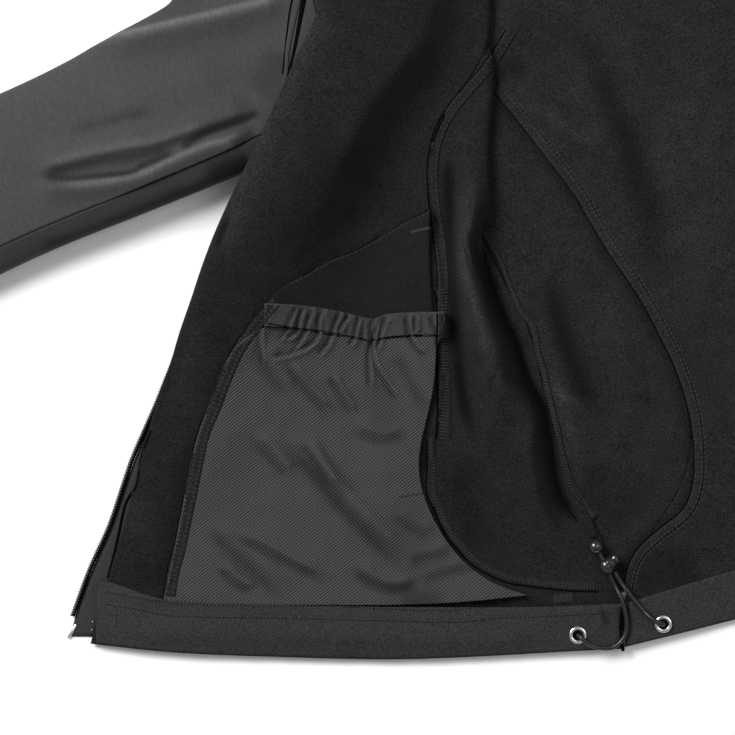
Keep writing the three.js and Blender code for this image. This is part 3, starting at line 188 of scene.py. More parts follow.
def make_piece(name, points, faces, material, slot):
    mesh = bpy.data.meshes.new(name)
    mesh.from_pydata([tuple(p) for p in points], [], faces)
    mesh.update()
    mesh.materials.append(material)
    mesh.shade_smooth()
    mesh.attributes.new("painted_light", "FLOAT", "POINT").data.foreach_set("value", [1.0] * len(mesh.vertices))
    piece = new_object(name, mesh)
    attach(piece, "jacket")
    return piece


def tube(line, radius, sides):
    rings, faces = [], []
    along = directions(line)
    side = np.cross(along[0], [0, 0, 1.0])
    for centre, direction in zip(line, along):
        side = side - direction * side.dot(direction)
        side /= np.linalg.norm(side)
        normal = np.cross(side, direction)
        for k in range(sides):
            angle = 2 * math.pi * k / sides
            rings.append(centre + radius * (math.cos(angle) * side + math.sin(angle) * normal))
    for i in range(len(line) - 1):
        for k in range(sides):
            j = (k + 1) % sides
            faces.append((i * sides + k, i * sides + j, (i + 1) * sides + j, (i + 1) * sides + k))
    faces.append(tuple(reversed(range(sides))))
    faces.append(tuple(range((len(line) - 1) * sides, len(line) * sides)))
    return rings, faces


# Smooth braided polyester cover: dark and fairly shiny, with a fine grain of 0.8 mm from its braid
cord_cover, tree, shader = new_material(
    "braided_elastic_cord", {"Base Color": linear("#161617"), "Roughness": 0.36},
)
at = add(tree, "ShaderNodeTexCoord").outputs["Object"]
grain = add(tree, "ShaderNodeTexNoise", {"Scale": 1250.0, "Detail": 2.0}, {"Vector": at})
bump = add(tree, "ShaderNodeBump", {"Strength": 0.35, "Distance": 0.0003}, {"Height": grain.outputs["Fac"]})
tree.links.new(bump.outputs["Normal"], shader.inputs["Normal"])

for cord_name, route, hidden in (
    ("hem_cord_left", LEFT_ROUTE, ["drawcord_left", "drawcord_end"]),
    ("hem_cord_right", RIGHT_ROUTE, ["drawcord_right"]),
):
    line = smooth_line(np.array(route) / 1000, 0.0012)
    cord = make_piece(cord_name, *tube(line, CORD_THICK / 2, 14), cord_cover, "cord")
    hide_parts(*hidden)


# Fleece side of the back: softshell is a woven face bonded to a fleece inside. The jacket lies on its woven
# face, so the back shows short dense pile, which looks nearly black with a soft fuzz of light on its folds.
# Each cloth carries an attribute that multiplies its colour: painted shade in creases, valleys and hollows,
# and painted highlight on ridges and fold edges.
def cloth_material(name, pattern, shades, bump_settings, settings):
    """One pattern gives the cloth its small relief and its colour, between two of (position, colour)."""
    material, tree, shader = new_material(name, settings)
    height = pattern(tree, add(tree, "ShaderNodeTexCoord").outputs["Object"])
    ramp = add(tree, "ShaderNodeValToRGB", {}, {"Fac": height})
    for element, (position, colour) in zip(ramp.color_ramp.elements, shades):
        element.position, element.color = position, linear(colour)
    # Painted light and shade: the colour is multiplied by the cloth's attribute, darker in creases and
    # lighter on ridges
    painted_light = add(tree, "ShaderNodeAttribute", {"attribute_name": "painted_light"})
    dyed = add(
        tree, "ShaderNodeVectorMath", {"operation": "MULTIPLY"},
        {0: ramp.outputs["Color"], 1: painted_light.outputs["Fac"]},
    )
    bump = add(tree, "ShaderNodeBump", bump_settings, {"Height": height})
    tree.links.new(dyed.outputs["Vector"], shader.inputs["Base Color"])
    tree.links.new(bump.outputs["Normal"], shader.inputs["Normal"])
    return material


def pile(tree, at):
    # Tufts of 0.9 mm and matted patches of 9 mm
    tufts, patches = (
        add(tree, "ShaderNodeTexNoise", {"Scale": scale, "Detail": 3.0, "Roughness": rough}, {"Vector": at})
        for scale, rough in ((1100.0, 0.65), (110.0, 0.6))
    )
    both = add(
        tree, "ShaderNodeMath", {"operation": "MULTIPLY_ADD", 1: 0.2},
        {0: patches.outputs["Fac"], 2: tufts.outputs["Fac"]},
    )
    return both.outputs["Value"]


def fleece_cloth(name, dark, light):
    return cloth_material(
        name, pile, ((0.4, dark), (0.84, light)), {"Strength": 0.8, "Distance": 0.0009},
        {"Roughness": 1.0, "Specular IOR Level": 0.1, "Sheen Weight": 0.03, "Sheen Roughness": 0.5},
    )


fleece = fleece_cloth("short_pile_fleece", "#0B0B0B", "#313131")


WELD = 2e-6
SHARP_EDGE = math.radians(62)
SHARP_CORNER = math.radians(150)


def fine_cloth(name, node, levels, material):
    """The solid's form made finer and smooth, with its cut edges and corners kept sharp."""
    work = bmesh.new()
    work.from_mesh(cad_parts[node].data)
    bmesh.ops.remove_doubles(work, verts=work.verts, dist=WELD)
    bmesh.ops.join_triangles(
        work, faces=work.faces[:], angle_face_threshold=math.radians(35), angle_shape_threshold=math.pi,
    )
    crease = work.edges.layers.float.new("crease_edge")
    corner = work.verts.layers.float.new("crease_vert")
    for edge in work.edges:
        if len(edge.link_faces) == 2 and edge.calc_face_angle(0) > SHARP_EDGE:
            edge[crease] = 1.0
    for vert in work.verts:
        rims = [
            edge.other_vert(vert).co - vert.co
            for edge in vert.link_edges if edge[crease] and edge.calc_length() > 0.002
        ]
        if len(rims) == 2 and rims[0].angle(rims[1]) < SHARP_CORNER:
            vert[corner] = 1.0
    mesh = bpy.data.meshes.new(name)
    work.to_mesh(mesh)
    work.free()
    piece = new_object(name, mesh)
    smoothing = piece.modifiers.new("smoothing", "SUBSURF")
    smoothing.levels = smoothing.render_levels = levels
    bpy.context.view_layer.objects.active = piece
    bpy.ops.object.modifier_apply(modifier=smoothing.name)
    piece.data.shade_smooth()
    piece.data.materials.clear()
    piece.data.materials.append(material)
    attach(piece, "jacket")
    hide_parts(node)
    return piece


def coordinates_of(piece):
    points = np.empty(len(piece.data.vertices) * 3)
    piece.data.vertices.foreach_get("co", points)
    return points.reshape(-1, 3)


def finer(piece, left, right, foot, head):
    """Splits the upper faces once more between these measures across and up, for folds that need it."""
    work = bmesh.new()
    work.from_mesh(piece.data)
    work.verts.ensure_lookup_table()
    across, up = measured(np.array([v.co for v in work.verts]))
    chosen = (across > left) & (across < right) & (up > foot) & (up < head)
    upper = {v.index for face in work.faces if face.normal.z > 0.3 for v in face.verts}
    edges = [e for e in work.edges if all(chosen[v.index] and v.index in upper for v in e.verts)]
    bmesh.ops.subdivide_edges(work, edges=edges, cuts=1, use_grid_fill=True)
    work.to_mesh(piece.data)
    work.free()
    piece.data.shade_smooth()


def relief(across, up, table):
    """Sum of ridges and valleys: (path, (width on its left, on its right), amount, share that fades)."""
    total = np.zeros(len(across))
    for path, (left, right), amount, ends in table:
        line = smooth_line(path, 3.0)
        run = np.r_[0, np.cumsum(np.linalg.norm(np.diff(line, axis=0), axis=1))]
        reach = 2.5 * max(left, right)
        low, high = line.min(axis=0) - reach, line.max(axis=0) + reach
        near = np.nonzero((across > low[0]) & (across < high[0]) & (up > low[1]) & (up < high[1]))[0]
        a, u = across[near], up[near]
        best, signed, share = np.full(len(near), 1e9), np.zeros(len(near)), np.zeros(len(near))
        for (ax, ay), (bx, by), start in zip(line, line[1:], run):
            dx, dy = bx - ax, by - ay
            size = math.hypot(dx, dy)
            t = np.clip(((a - ax) * dx + (u - ay) * dy) / size**2, 0, 1)
            offx, offy = a - ax - t * dx, u - ay - t * dy
            distance = np.hypot(offx, offy)
            closer = distance < best
            best = np.where(closer, distance, best)
            signed = np.where(closer, np.where(dx * offy - dy * offx >= 0, distance, -distance), signed)
            share = np.where(closer, (start + t * size) / run[-1], share)
        width = np.where(signed > 0, left, right)
        faded = np.clip(np.minimum(share, 1 - share) / max(ends, 1e-6), 0, 1) ** 1.5
        total[near] += amount * np.exp(-((signed / width) ** 2)) * faded
    return total


def unevenness(points, size, seed):
    """Soft random unevenness of cloth, from -1 to 1, with waves of the given size in millimetres."""
    scale = 1000 / size
    return np.array([noise.noise(Vector((x * scale, y * scale, seed))) for x, y in points[:, :2]])


def ramp_up(values, start, end):
    """Goes softly from 0 at the start to 1 at the end."""
    t = np.clip((values - start) / (end - start), 0, 1)
    return t * t * (3 - 2 * t)


def everywhere(across, up, points):
    return np.ones(len(across))


def dress(piece, lifts=(), shades=(), soft=(), seed=1.0, within=everywhere, base=1.0, dip=0.0):
    """Lifts a cloth by its folds and its unevenness of each (wave, height), and paints light and shade into
    its colour: base over the whole piece, and the shades table as painted shade in creases and painted
    highlight on ridges.
    """
    points = coordinates_of(piece)
    across, up = measured(points)
    lift = relief(across, up, lifts)
    for k, (wave, height) in enumerate(soft):
        lift += height * (0.5 + unevenness(points, wave, seed + 7.3 * k))
    painted_light = base * np.exp(relief(across, up, shades))
    points[:, 2] += np.maximum(lift * within(across, up, points), -dip) / 1000
    piece.data.vertices.foreach_set("co", points.ravel())
    attribute = piece.data.attributes.new("painted_light", "FLOAT", "POINT")
    attribute.data.foreach_set("value", painted_light.astype(np.float32))
    piece.data.update()


BACK_LIFTS = [
    (picture((500, 160), (538, 180), (580, 197)), (7, 7), 3.0, 0.2),
    (picture((508, 100), (540, 113), (560, 127), (583, 144), (610, 160)), (8, 5), 3.4, 0.2),
    (picture((545, 10), (575, 66), (600, 126), (625, 196)), (11, 11), 3.4, 0.2),
    (picture((612, 5), (640, 80), (660, 140), (690, 230)), (13, 13), 4.2, 0.2),
    (picture((590, 400), (640, 440), (690, 470)), (16, 16), 2.2, 0.2),
]
VALLEY = picture(
    (481, 238), (484, 262), (492, 288), (502, 316), (513, 340), (520, 362), (528, 384), (540, 406),
    (547, 436), (552, 470), (560, 498), (576, 522),
)
BACK_SEAM = picture(
    (493, 92), (518, 122), (548, 161), (574, 196), (591, 225), (608, 253), (627, 281), (644, 308),
    (660, 339), (674, 368), (686, 405), (692, 440), (692, 480), (682, 508), (656, 530), (637, 548),
    (627, 566), (622, 588),
)
# Painted shade along the seam, in the deep valley and in creases, and painted highlight on ridges, as log
# factors of the cloth's colour
BACK_SEAM_SHADE = (BACK_SEAM, (1.5, 4.0), -0.6, 0.03)
VALLEY_SHADE = (VALLEY, (3.0, 3.8), -3.2, 0.08)
BACK_SHADES = [
    BACK_SEAM_SHADE,
    (
        picture((559, 12), (583, 50), (598, 77), (613, 115), (629, 146), (644, 199), (655, 250), (668, 300)),
        (7, 8), -0.7, 0.3,
    ),
    VALLEY_SHADE,
    (picture((520, 215), (560, 250), (590, 290)), (12, 12), -0.3, 0.2),
    (picture((560, 30), (590, 90), (620, 160)), (7, 7), 0.25, 0.3),
    (picture((495, 64), (512, 68), (530, 77)), (5, 5), -0.5, 0.3),
    (picture((495, 92), (498, 112), (502, 142)), (4, 4), -1.6, 0.3),
    (picture((489, 174), (511, 188), (536, 202), (560, 212)), (4.5, 6), -0.9, 0.25),
    (picture((520, 103), (540, 111), (560, 124), (583, 141)), (2.5, 4), 0.28, 0.3),
    (picture((660, 20), (676, 120), (690, 220), (710, 330)), (20, 14), 0.25, 0.3),
    (picture((640, 560), (665, 570), (700, 566)), (12, 16), -0.5, 0.1),
    (picture((500, 20), (540, 40), (590, 30)), (14, 14), -0.2, 0.2),
]
back = fine_cloth("back_panel", "back", 3, fleece)
finer(back, -80, 75, 15, 380)


def open_side(across, up, points):
    return ramp_up(-points[:, 0], -0.005, 0.03) * ramp_up(up, 40, 70) * (1 - ramp_up(up, 430, 520))


dress(back, BACK_LIFTS, BACK_SHADES, ((70, 2.2), (26, 0.8)), 3.0, open_side, 0.92)


# Side panels of the back: leaf-shaped panels between the side seam and a curved seam, in the same fleece. The
# right one falls in a deep valley beside the open side seam, darkened with painted shade.
SIDE_BACK_LIFTS = [
    (picture((500, 262), (530, 318), (552, 372), (575, 440), (600, 500)), (6, 4), 2.2, 0.15),
    (picture((600, 280), (615, 330), (640, 420)), (11, 11), 2.6, 0.2),
    (picture((539, 380), (565, 396), (592, 412)), (4, 5), 1.6, 0.3),
]
# Painted shade in the valley and folds, and painted highlight on the lit swells and fold edge
SIDE_BACK_SHADES = [
    BACK_SEAM_SHADE,
    VALLEY_SHADE,
    (picture((548, 262), (558, 320), (569, 352), (583, 387), (604, 430)), (6, 6), -0.95, 0.25),
    (picture((530, 290), (545, 330), (558, 380), (570, 430), (585, 470)), (4, 4), 0.3, 0.2),
    (picture((539, 382), (565, 396), (592, 412)), (3, 4), 0.5, 0.3),
    (picture((606, 292), (614, 325), (626, 360)), (8, 8), 0.3, 0.3),
    (picture((575, 470), (610, 500), (640, 520)), (14, 14), -0.35, 0.2),
]
side_back = fine_cloth("side_back_panel_right", "side_back_right", 4, fleece)
dress(
    side_back, SIDE_BACK_LIFTS, SIDE_BACK_SHADES, ((40, 0.9), (18, 0.4)), 5.0,
    lambda across, up, points: ramp_up(up, 15, 50) * (1 - ramp_up(up, 190, 240)), 0.88,
)
side_back_left = fine_cloth("side_back_panel_left", "side_back_left", 2, fleece)
dress(side_back_left)


# Seams of the back: the allowance of the curved seam is pressed to the panel's side and held by two rows of
# needle stitches, so it shows as a slightly raised strip; a near-black band of painted shade lies in the
# ditch along it.
def ground_of(*pieces):
    """The surface of several pieces together, for what is laid or sewn on them."""
    points, faces = [], []
    for piece in pieces:
        start = len(points)
        points += [v.co.copy() for v in piece.data.vertices]
        faces += [tuple(start + i for i in p.vertices) for p in piece.data.polygons]
    return BVHTree.FromPolygons(points, faces)


def top_of(ground, across, up, otherwise):
    """Height of the ground in millimetres, or otherwise where there is none."""
    hit = ground.ray_cast(place(across, up, 200), Vector((0, 0, -1)))[0]
    return hit.z * 1000 if hit else otherwise


def sew(name, ground, thread, slot, rows):
    """Rows of stitches: (path, pitch, length, thickness, turn in degrees off the path, shift to its left)."""
    points, faces = [], []
    for path, pitch, length, thick, turn, shift in rows:
        line = smooth_line(path, pitch)
        cosine, sine = math.cos(math.radians(turn)), math.sin(math.radians(turn))
        for (a, u), (da, du) in zip(line, directions(line)):
            a, u = a - du * shift, u + da * shift
            ta, tu = da * cosine - du * sine, da * sine + du * cosine
            half = length / 2
            middle = top_of(ground, a, u, None)
            if middle is None:
                continue
            ends = [top_of(ground, a + side * ta * half, u + side * tu * half, middle) for side in (-1, 1)]
            start = len(points)
            points.append(place(a - ta * half, u - tu * half, ends[0] - 0.1))
            for side, end in ((-0.5, ends[0]), (0.5, ends[1])):
                z = (end + middle) / 2 + 0.3 * thick
                ca, cu = a + side * ta * half, u + side * tu * half
                points += [
                    place(ca - tu * thick / 2, cu + ta * thick / 2, z), place(ca, cu, z + thick / 2),
                    place(ca + tu * thick / 2, cu - ta * thick / 2, z), place(ca, cu, z - thick / 2),
                ]
            points.append(place(a + ta * half, u + tu * half, ends[1] - 0.1))
            for k in range(4):
                j = (k + 1) % 4
                faces.append((start, start + 1 + j, start + 1 + k))
                faces.append((start + 1 + k, start + 1 + j, start + 5 + j, start + 5 + k))
                faces.append((start + 9, start + 5 + k, start + 5 + j))
    return make_piece(name, points, faces, thread, slot)


def lay_bands(name, ground, material, slot, bands, columns=6):
    """Flat bands on the cloth: (path, half width at the start and at the end, thickness, tapered)."""
    points, faces = [], []
    for path, (first, last), thick, tapered in bands:
        line = smooth_line(path, 1.6)
        start, rows, z = len(points), len(line), 3.0
        for i, ((a, u), (da, du)) in enumerate(zip(line, directions(line))):
            t = i / (rows - 1)
            half = (first + (last - first) * t) * (0.15 + 0.85 * math.sin(math.pi * t) if tapered else 1)
            upper, lower = [], []
            for j in range(columns + 1):
                off = 2 * j / columns - 1
                x, y = a - du * off * half, u + da * off * half
                z = top_of(ground, x, y, z)
                upper.append(place(x, y, z + thick * (0.35 + 0.65 * math.sqrt(1 - 0.96 * off**2))))
                lower.append(place(x, y, z - 0.3))
            points += upper + lower
        numbers = start + np.arange(rows * 2 * (columns + 1)).reshape(rows, 2, columns + 1)
        top, low = numbers[:, 0].tolist(), numbers[:, 1].tolist()
        for i in range(rows - 1):
            for j in range(columns):
                faces.append((top[i][j], top[i + 1][j], top[i + 1][j + 1], top[i][j + 1]))
                faces.append((low[i][j], low[i][j + 1], low[i + 1][j + 1], low[i + 1][j]))
            faces.append((top[i][-1], top[i + 1][-1], low[i + 1][-1], low[i][-1]))
            faces.append((top[i][0], low[i][0], low[i + 1][0], top[i + 1][0]))
        for j in range(columns):
            faces.append((top[0][j], top[0][j + 1], low[0][j + 1], low[0][j]))
            faces.append((top[-1][j], low[-1][j], low[-1][j + 1], top[-1][j + 1]))
    return make_piece(name, points, faces, material, slot)


def beside(path, shift):
    """The path moved to its own left by so many millimetres."""
    line = smooth_line(path, 4.0)
    return [(a - du * shift, u + da * shift) for (a, u), (da, du) in zip(line, directions(line))]


# Spun polyester sewing thread: dull, a shade lighter than the cloth, so that each stitch just shows
thread = new_material("spun_polyester_thread", {"Base Color": linear("#2F2F30"), "Roughness": 0.8})[0]
# Near-black painted shade, laid as bands in ditches, seams, pleats and valleys and as discs in the eyelets'
# mouths, where shade falls; the same black also draws the zip coil's core thread
shade_and_core_black = new_material(
    "painted_shade_and_coil_core", {"Base Color": linear("#050505"), "Roughness": 1.0, "Specular IOR Level": 0.05},
)[0]

back_ground = ground_of(back, side_back)
back_allowance = lay_bands("back_seam_allowance", back_ground, fleece, "fleece", [
    (beside(BACK_SEAM, 3.0), (2.9, 2.4), 0.75, False),
])
# A near-black band of painted shade in the seam's ditch
lay_bands("back_seam_painted_shade", back_ground, shade_and_core_black, "fleece", [(BACK_SEAM, (0.4, 0.35), 0.12, False)], 2)
sew("back_seam_stitches", ground_of(back, side_back, back_allowance), thread, "fleece", [
    (BACK_SEAM, 2.5, 2.0, 0.55, 8, 4.6),
    (BACK_SEAM, 2.5, 2.0, 0.55, -8, 6.4),
    (BACK_SEAM, 2.5, 1.6, 0.4, 10, 1.3),
])


# Right sleeve: the outer face of the softshell, a fine twill of grey and black yarns with a dull sheen. Two
# pieces, upper and under; the arm is bent and the upper piece slumps in a soft fold over the under one.
def twill(tree, at):
    # Yarns about 0.5 mm apart, drawn 1.1 mm apart so that they show
    turned = add(
        tree, "ShaderNodeMapping", {"Rotation": (0, 0, math.radians(38)), "Scale": (1.0, 0.28, 1.0)},
        {"Vector": at},
    )
    yarns = {"Scale": 900.0, "Detail": 2.0}
    return add(tree, "ShaderNodeTexNoise", yarns, {"Vector": turned.outputs["Vector"]}).outputs["Fac"]


softshell = cloth_material(
    "woven_softshell", twill, ((0.35, "#2F2F30"), (0.68, "#363637")), {"Strength": 0.06, "Distance": 0.0003},
    {"Roughness": 0.8, "Specular IOR Level": 0.25, "Sheen Weight": 0.04, "Sheen Roughness": 0.4},
)

SLEEVE_LIFTS = [
    (picture((70, 56), (107, 41), (139, 36), (175, 27), (211, 19), (255, 9), (292, 1)), (4, 9), 3.6, 0.1),
    (picture((90, 118), (140, 108), (190, 94), (245, 68)), (14, 16), 2.6, 0.25),
    (
        picture((40, 174), (80, 163), (104, 157), (130, 152), (157, 147), (184, 138), (211, 128), (256, 112)),
        (10, 3.5), 3.4, 0.08,
    ),
    (picture((68, 138), (104, 131), (139, 122), (170, 115)), (3.5, 3.5), -0.9, 0.2),
    (
        picture((40, 190), (80, 191), (109, 188), (146, 181), (175, 167), (211, 151), (256, 134)),
        (3.5, 6), 3.0, 0.08,
    ),
]
# Painted highlight on the ridges and fold edges, and painted shade in the grooves and under the folds
SLEEVE_SHADES = [
    (picture((70, 32), (130, 14), (180, 2), (210, -8)), (12, 10), -0.3, 0.1),
    (
        picture((80, 51), (107, 41), (139, 36), (175, 28), (211, 20), (255, 10), (290, 2)),
        (1.6, 3.5), 0.95, 0.1,
    ),
    (picture((100, 62), (170, 50), (240, 34), (285, 30)), (7, 7), -0.2, 0.2),
    (picture((70, 137), (104, 130), (139, 121), (168, 116)), (2, 3), -0.35, 0.2),
    (picture((252, 98), (268, 84), (280, 66), (284, 50)), (9, 8), -0.45, 0.2),
    (
        picture((50, 169), (80, 162), (104, 156), (130, 151), (157, 147), (184, 138), (211, 128)),
        (3.5, 1.8), 0.45, 0.1,
    ),
    (picture((44, 178), (80, 172), (104, 167), (130, 163), (157, 158), (180, 150)), (2.2, 3), -0.6, 0.12),
    (
        picture((262, 115), (254, 120), (245, 125), (229, 131), (211, 137), (196, 145), (184, 154)),
        (1.6, 2.2), -1.7, 0.08,
    ),
    (
        picture((180, 155), (175, 157), (161, 164), (146, 170), (136, 176), (109, 179), (80, 182), (46, 180)),
        (1.5, 1.5), -1.5, 0.08,
    ),
    (picture((236, 157), (246, 151), (262, 142)), (7, 7), -1.1, 0.2),
    (
        picture((60, 186), (109, 184), (146, 176), (175, 163), (211, 148), (229, 144), (254, 131)),
        (1.4, 3.0), 0.7, 0.1,
    ),
]
# Painted shade on the under piece, in the shadow of the upper piece's fold
UNDER_SHADES = [
    (
        picture((50, 247), (86, 238), (121, 223), (157, 208), (175, 199), (202, 190), (225, 171), (250, 163)),
        (3, 5), -0.9, 0.0,
    ),
    (picture((214, 184), (232, 172), (252, 164)), (7, 9), -1.1, 0.1),
]


def on_sleeve(across, up, points):
    return ramp_up(points[:, 2] * 1000, 10, 15)


# The last value of each row is a painted overall light or shade; the under piece is painted darker, as it
# lies in the shade of the upper piece's fold
sleeves = []
for node, cut, area, lifts, shades, base in (
    ("sleeve_upper_right", (0.27, 0.68), 0.0717, SLEEVE_LIFTS, SLEEVE_SHADES, 1.12),
    ("sleeve_under_right", (0.2, 0.62), 0.0537, (), UNDER_SHADES, 0.7),
):
    sleeve = fine_cloth(node + "_cloth", node, 3, softshell)
    finer(sleeve, -335, -178, 235, 352)
    dress(sleeve, lifts, shades, ((55, 1.0), (20, 0.35)), 9.0, on_sleeve, base, 0.9)
    sleeves.append(sleeve)

sleeve_ground = ground_of(*sleeves)
lay_bands("armhole_allowance", sleeve_ground, softshell, "softshell", [
    (picture((302, -6), (295, 23), (289, 55), (288, 74), (285, 90)), (1.9, 0.8), 0.7, False),
])
# Near-black bands of painted shade in the gaps beside the armhole allowance
lay_bands("armhole_painted_shade", sleeve_ground, shade_and_core_black, "softshell", [
    (picture((297, -6), (291, 18), (286, 59), (284, 79)), (0.5, 0.4), 0.15, False),
    (picture((307, -6), (302, 21), (295, 57), (289, 82)), (1.5, 0.5), 0.3, False),
], 2)


# Right front, thrown open with its fleece up, and its side panel with the spare cloth that stands up in a
# ridge beside the side seam. Above the pocket the zip edge is rolled under, and the fold beside the seam
# turns the cloth back under itself.
FRONT_LIFTS = [
    (
        picture(
            (340, 10), (312, 46), (305, 66), (290, 99), (278, 120), (268, 146), (250, 190), (236, 226),
            (220, 268),
        ),
        (9, 6), 1.8, 0.1,
    ),
    (picture((440, 20), (400, 110), (372, 180), (345, 232)), (16, 16), 2.4, 0.2),
    (picture((155, 470), (142, 505), (134, 540), (122, 580)), (7, 7), 1.4, 0.2),
    (picture((222, 440), (210, 480), (198, 530), (186, 580)), (6, 6), 1.2, 0.2),
    (picture((216, 290), (205, 340), (180, 400), (165, 440)), (10, 8), 1.6, 0.2),
]
# Painted highlight along the rolled edge and painted shade in creases and hollows
FRONT_SHADES = [
    (
        picture(
            (338, 12), (313, 42), (307, 62), (291, 96), (279, 116), (269, 140), (253, 178), (238, 214),
            (216, 272),
        ),
        (12, 5), 0.55, 0.1,
    ),
    (picture((350, 130), (325, 190), (305, 240), (280, 275)), (18, 16), -0.3, 0.2),
    (picture((232, 218), (223, 237), (219, 252)), (1.6, 1.6), -1.2, 0.2),
    (picture((150, 492), (142, 512), (134, 538)), (7, 6), 0.4, 0.25),
    (picture((206, 330), (190, 380), (172, 430)), (10, 9), 0.25, 0.2),
    (
        picture((196, 432), (189, 459), (183, 489), (177, 518), (171, 547), (165, 569), (161, 594)),
        (1.5, 6), -0.5, 0.1,
    ),
    (picture((430, 446), (429, 460), (427, 476)), (2.5, 3), -1.6, 0.2),
]
front_fleece = fleece_cloth("short_pile_fleece_of_front", "#090909", "#2B2B2B")
front = fine_cloth("front_right_cloth", "front_right", 3, front_fleece)


def front_free(across, up, points):
    return ramp_up(up, 24, 44) * (1 - ramp_up(up, 420, 500)) * ramp_up(-across, 74, 90)


dress(front, FRONT_LIFTS, FRONT_SHADES, ((60, 1.8), (24, 0.8)), 11.0, front_free, 0.86)

RIDGE_EDGE = picture(
    (484, 170), (486, 196), (484, 211), (479, 235), (474, 244), (479, 266), (487, 294), (496, 321),
    (506, 346), (510, 368), (517, 383), (530, 399), (541, 420), (541, 461), (547, 492), (555, 515),
    (568, 530),
)
SIDE_FRONT_LIFTS = [
    (beside(RIDGE_EDGE, -6.5), (4.0, 9.0), 4.5, 0.12),
    (picture((502, 440), (512, 470), (522, 505)), (10, 10), 1.4, 0.2),
    (picture((462, 240), (470, 300), (485, 350), (500, 400)), (4, 6), 1.0, 0.2),
]
# Painted shade in the hollow and the valley beside the ridge, and painted highlight on the ridge
SIDE_FRONT_SHADES = [
    (picture((458, 450), (460, 490), (468, 530), (490, 556)), (11, 9), -0.5, 0.15),
    (picture((508, 436), (520, 476), (530, 516)), (8, 9), -0.1, 0.25),
    (
        picture((447, 150), (448, 200), (449, 250), (453, 300), (457, 350), (463, 400), (474, 440)),
        (3, 3), -1.5, 0.1,
    ),
    (picture((464, 250), (473, 300), (488, 350), (503, 400)), (4, 5), 0.35, 0.2),
    VALLEY_SHADE,
    (beside(RIDGE_EDGE, -1.0), (3, 2.5), -0.6, 0.05),
    (beside(RIDGE_EDGE, -9.0), (5, 5), 0.12, 0.1),
    (picture((470, 262), (478, 300), (488, 340), (500, 372)), (5, 5), 0.5, 0.2),
    (picture((478, 170), (468, 215), (462, 262), (468, 300)), (5, 6), 0.45, 0.2),
    (picture((505, 150), (520, 185), (540, 210)), (9, 9), -0.4, 0.2),
]
side_front = fine_cloth("side_front_panel_right", "side_front_right", 3, front_fleece)
dress(side_front, SIDE_FRONT_LIFTS, SIDE_FRONT_SHADES, ((30, 0.7),), 13.0, everywhere, 0.94)


# Pocket on the opened front: the bag of the hand pocket in a thin brushed knit, over it a bird's-eye mesh,
# and along the mesh's top an elastic casing that gathers it.
bag_cloth = fleece_cloth("brushed_pocketing", "#111112", "#222223")
bag = fine_cloth("pocket_bag_cloth", "pocket_bag_right", 3, bag_cloth)
dress(bag)


def birds_eye(tree, at):
    # Real meshes of 1.4 mm, drawn 2 mm across so that they show: a half wave is pi / 3142 m, or 1 mm
    turn = (0, 0, LEAN + math.radians(7))
    turned = add(
        tree, "ShaderNodeMapping", {"Rotation": turn, "Scale": (3142.0, 3142.0, 0.0)}, {"Vector": at},
    )
    parts = add(tree, "ShaderNodeSeparateXYZ", {}, {"Vector": turned.outputs["Vector"]})
    waves = [add(tree, "ShaderNodeMath", {"operation": "SINE"}, {0: parts.outputs[k]}) for k in ("X", "Y")]
    sockets = {k: wave.outputs[0] for k, wave in enumerate(waves)}
    return add(tree, "ShaderNodeMath", {"operation": "MULTIPLY"}, sockets).outputs[0]


mesh_knit = cloth_material(
    "birds_eye_mesh_knit", birds_eye, ((0.0, "#3E3E3E"), (0.75, "#040404")),
    {"Strength": 0.7, "Distance": 0.0004, "invert": True},
    {"Roughness": 0.6, "Specular IOR Level": 0.3, "Sheen Weight": 0.04},
)

# Pleats that the elastic gathers: they start at the casing's top edge and run out in the mesh
PLEATS = [
    picture((298, 306), (292, 318), (286, 330), (278, 342)),
    picture((306, 307), (300, 316), (296, 332), (285, 338)),
    picture((312, 310), (308, 322), (303, 336), (290, 352), (271, 357)),
    picture((322, 310), (318, 322), (317, 337), (306, 347), (285, 356)),
    picture((340, 312), (335, 324), (330, 338), (326, 346), (317, 356)),
    picture((348, 315), (344, 322), (338, 331)),
    picture((359, 315), (356, 327), (353, 338), (349, 348)),
    picture((372, 318), (370, 330), (371, 341), (368, 356), (369, 391)),
    picture((379, 318), (376, 328), (372, 340), (374, 364), (386, 384), (400, 404)),
    picture((386, 315), (382, 326), (379, 337), (376, 352)),
    picture((405, 316), (407, 328), (409, 338), (417, 351), (428, 357)),
    picture((414, 316), (414, 324), (414, 333)),
    picture((430, 314), (431, 324), (436, 336), (440, 356)),
    picture((276, 303), (270, 314), (262, 326), (260, 344), (263, 370)),
]
# Folds pressed in the mesh: path, width and depth
MESH_FOLDS = [
    (picture((284, 362), (306, 391), (331, 417)), 2.2, 1.3),
    (picture((328, 375), (340, 397), (353, 417)), 2.0, 1.2),
    (picture((300, 440), (314, 462), (331, 494)), 3.0, 1.2),
    (picture((250, 440), (267, 454), (290, 480)), 3.0, 1.2),
    (picture((228, 533), (262, 549), (296, 567), (332, 585)), 2.5, 1.3),
    (picture((219, 566), (236, 584), (256, 594)), 2.5, 1.2),
    (picture((392, 514), (411, 529), (432, 540)), 3.0, 0.8),
    (picture((405, 566), (430, 560), (456, 552)), 3.0, 0.7),
    (picture((415, 582), (450, 573), (484, 566)), 3.0, 0.7),
    (picture((255, 345), (268, 372), (290, 398)), 4.0, 0.9),
    (picture((395, 350), (412, 385), (430, 415)), 4.0, 0.9),
    (picture((278, 436), (310, 470), (345, 510), (380, 546), (410, 570)), 4.2, 1.9),
    (picture((205, 526), (232, 551), (262, 579), (286, 600)), 4.0, 1.2),
    (picture((352, 564), (368, 582), (392, 590), (422, 587)), 3.0, 1.6),
    (picture((350, 430), (380, 441), (410, 437)), 3.0, 1.1),
]
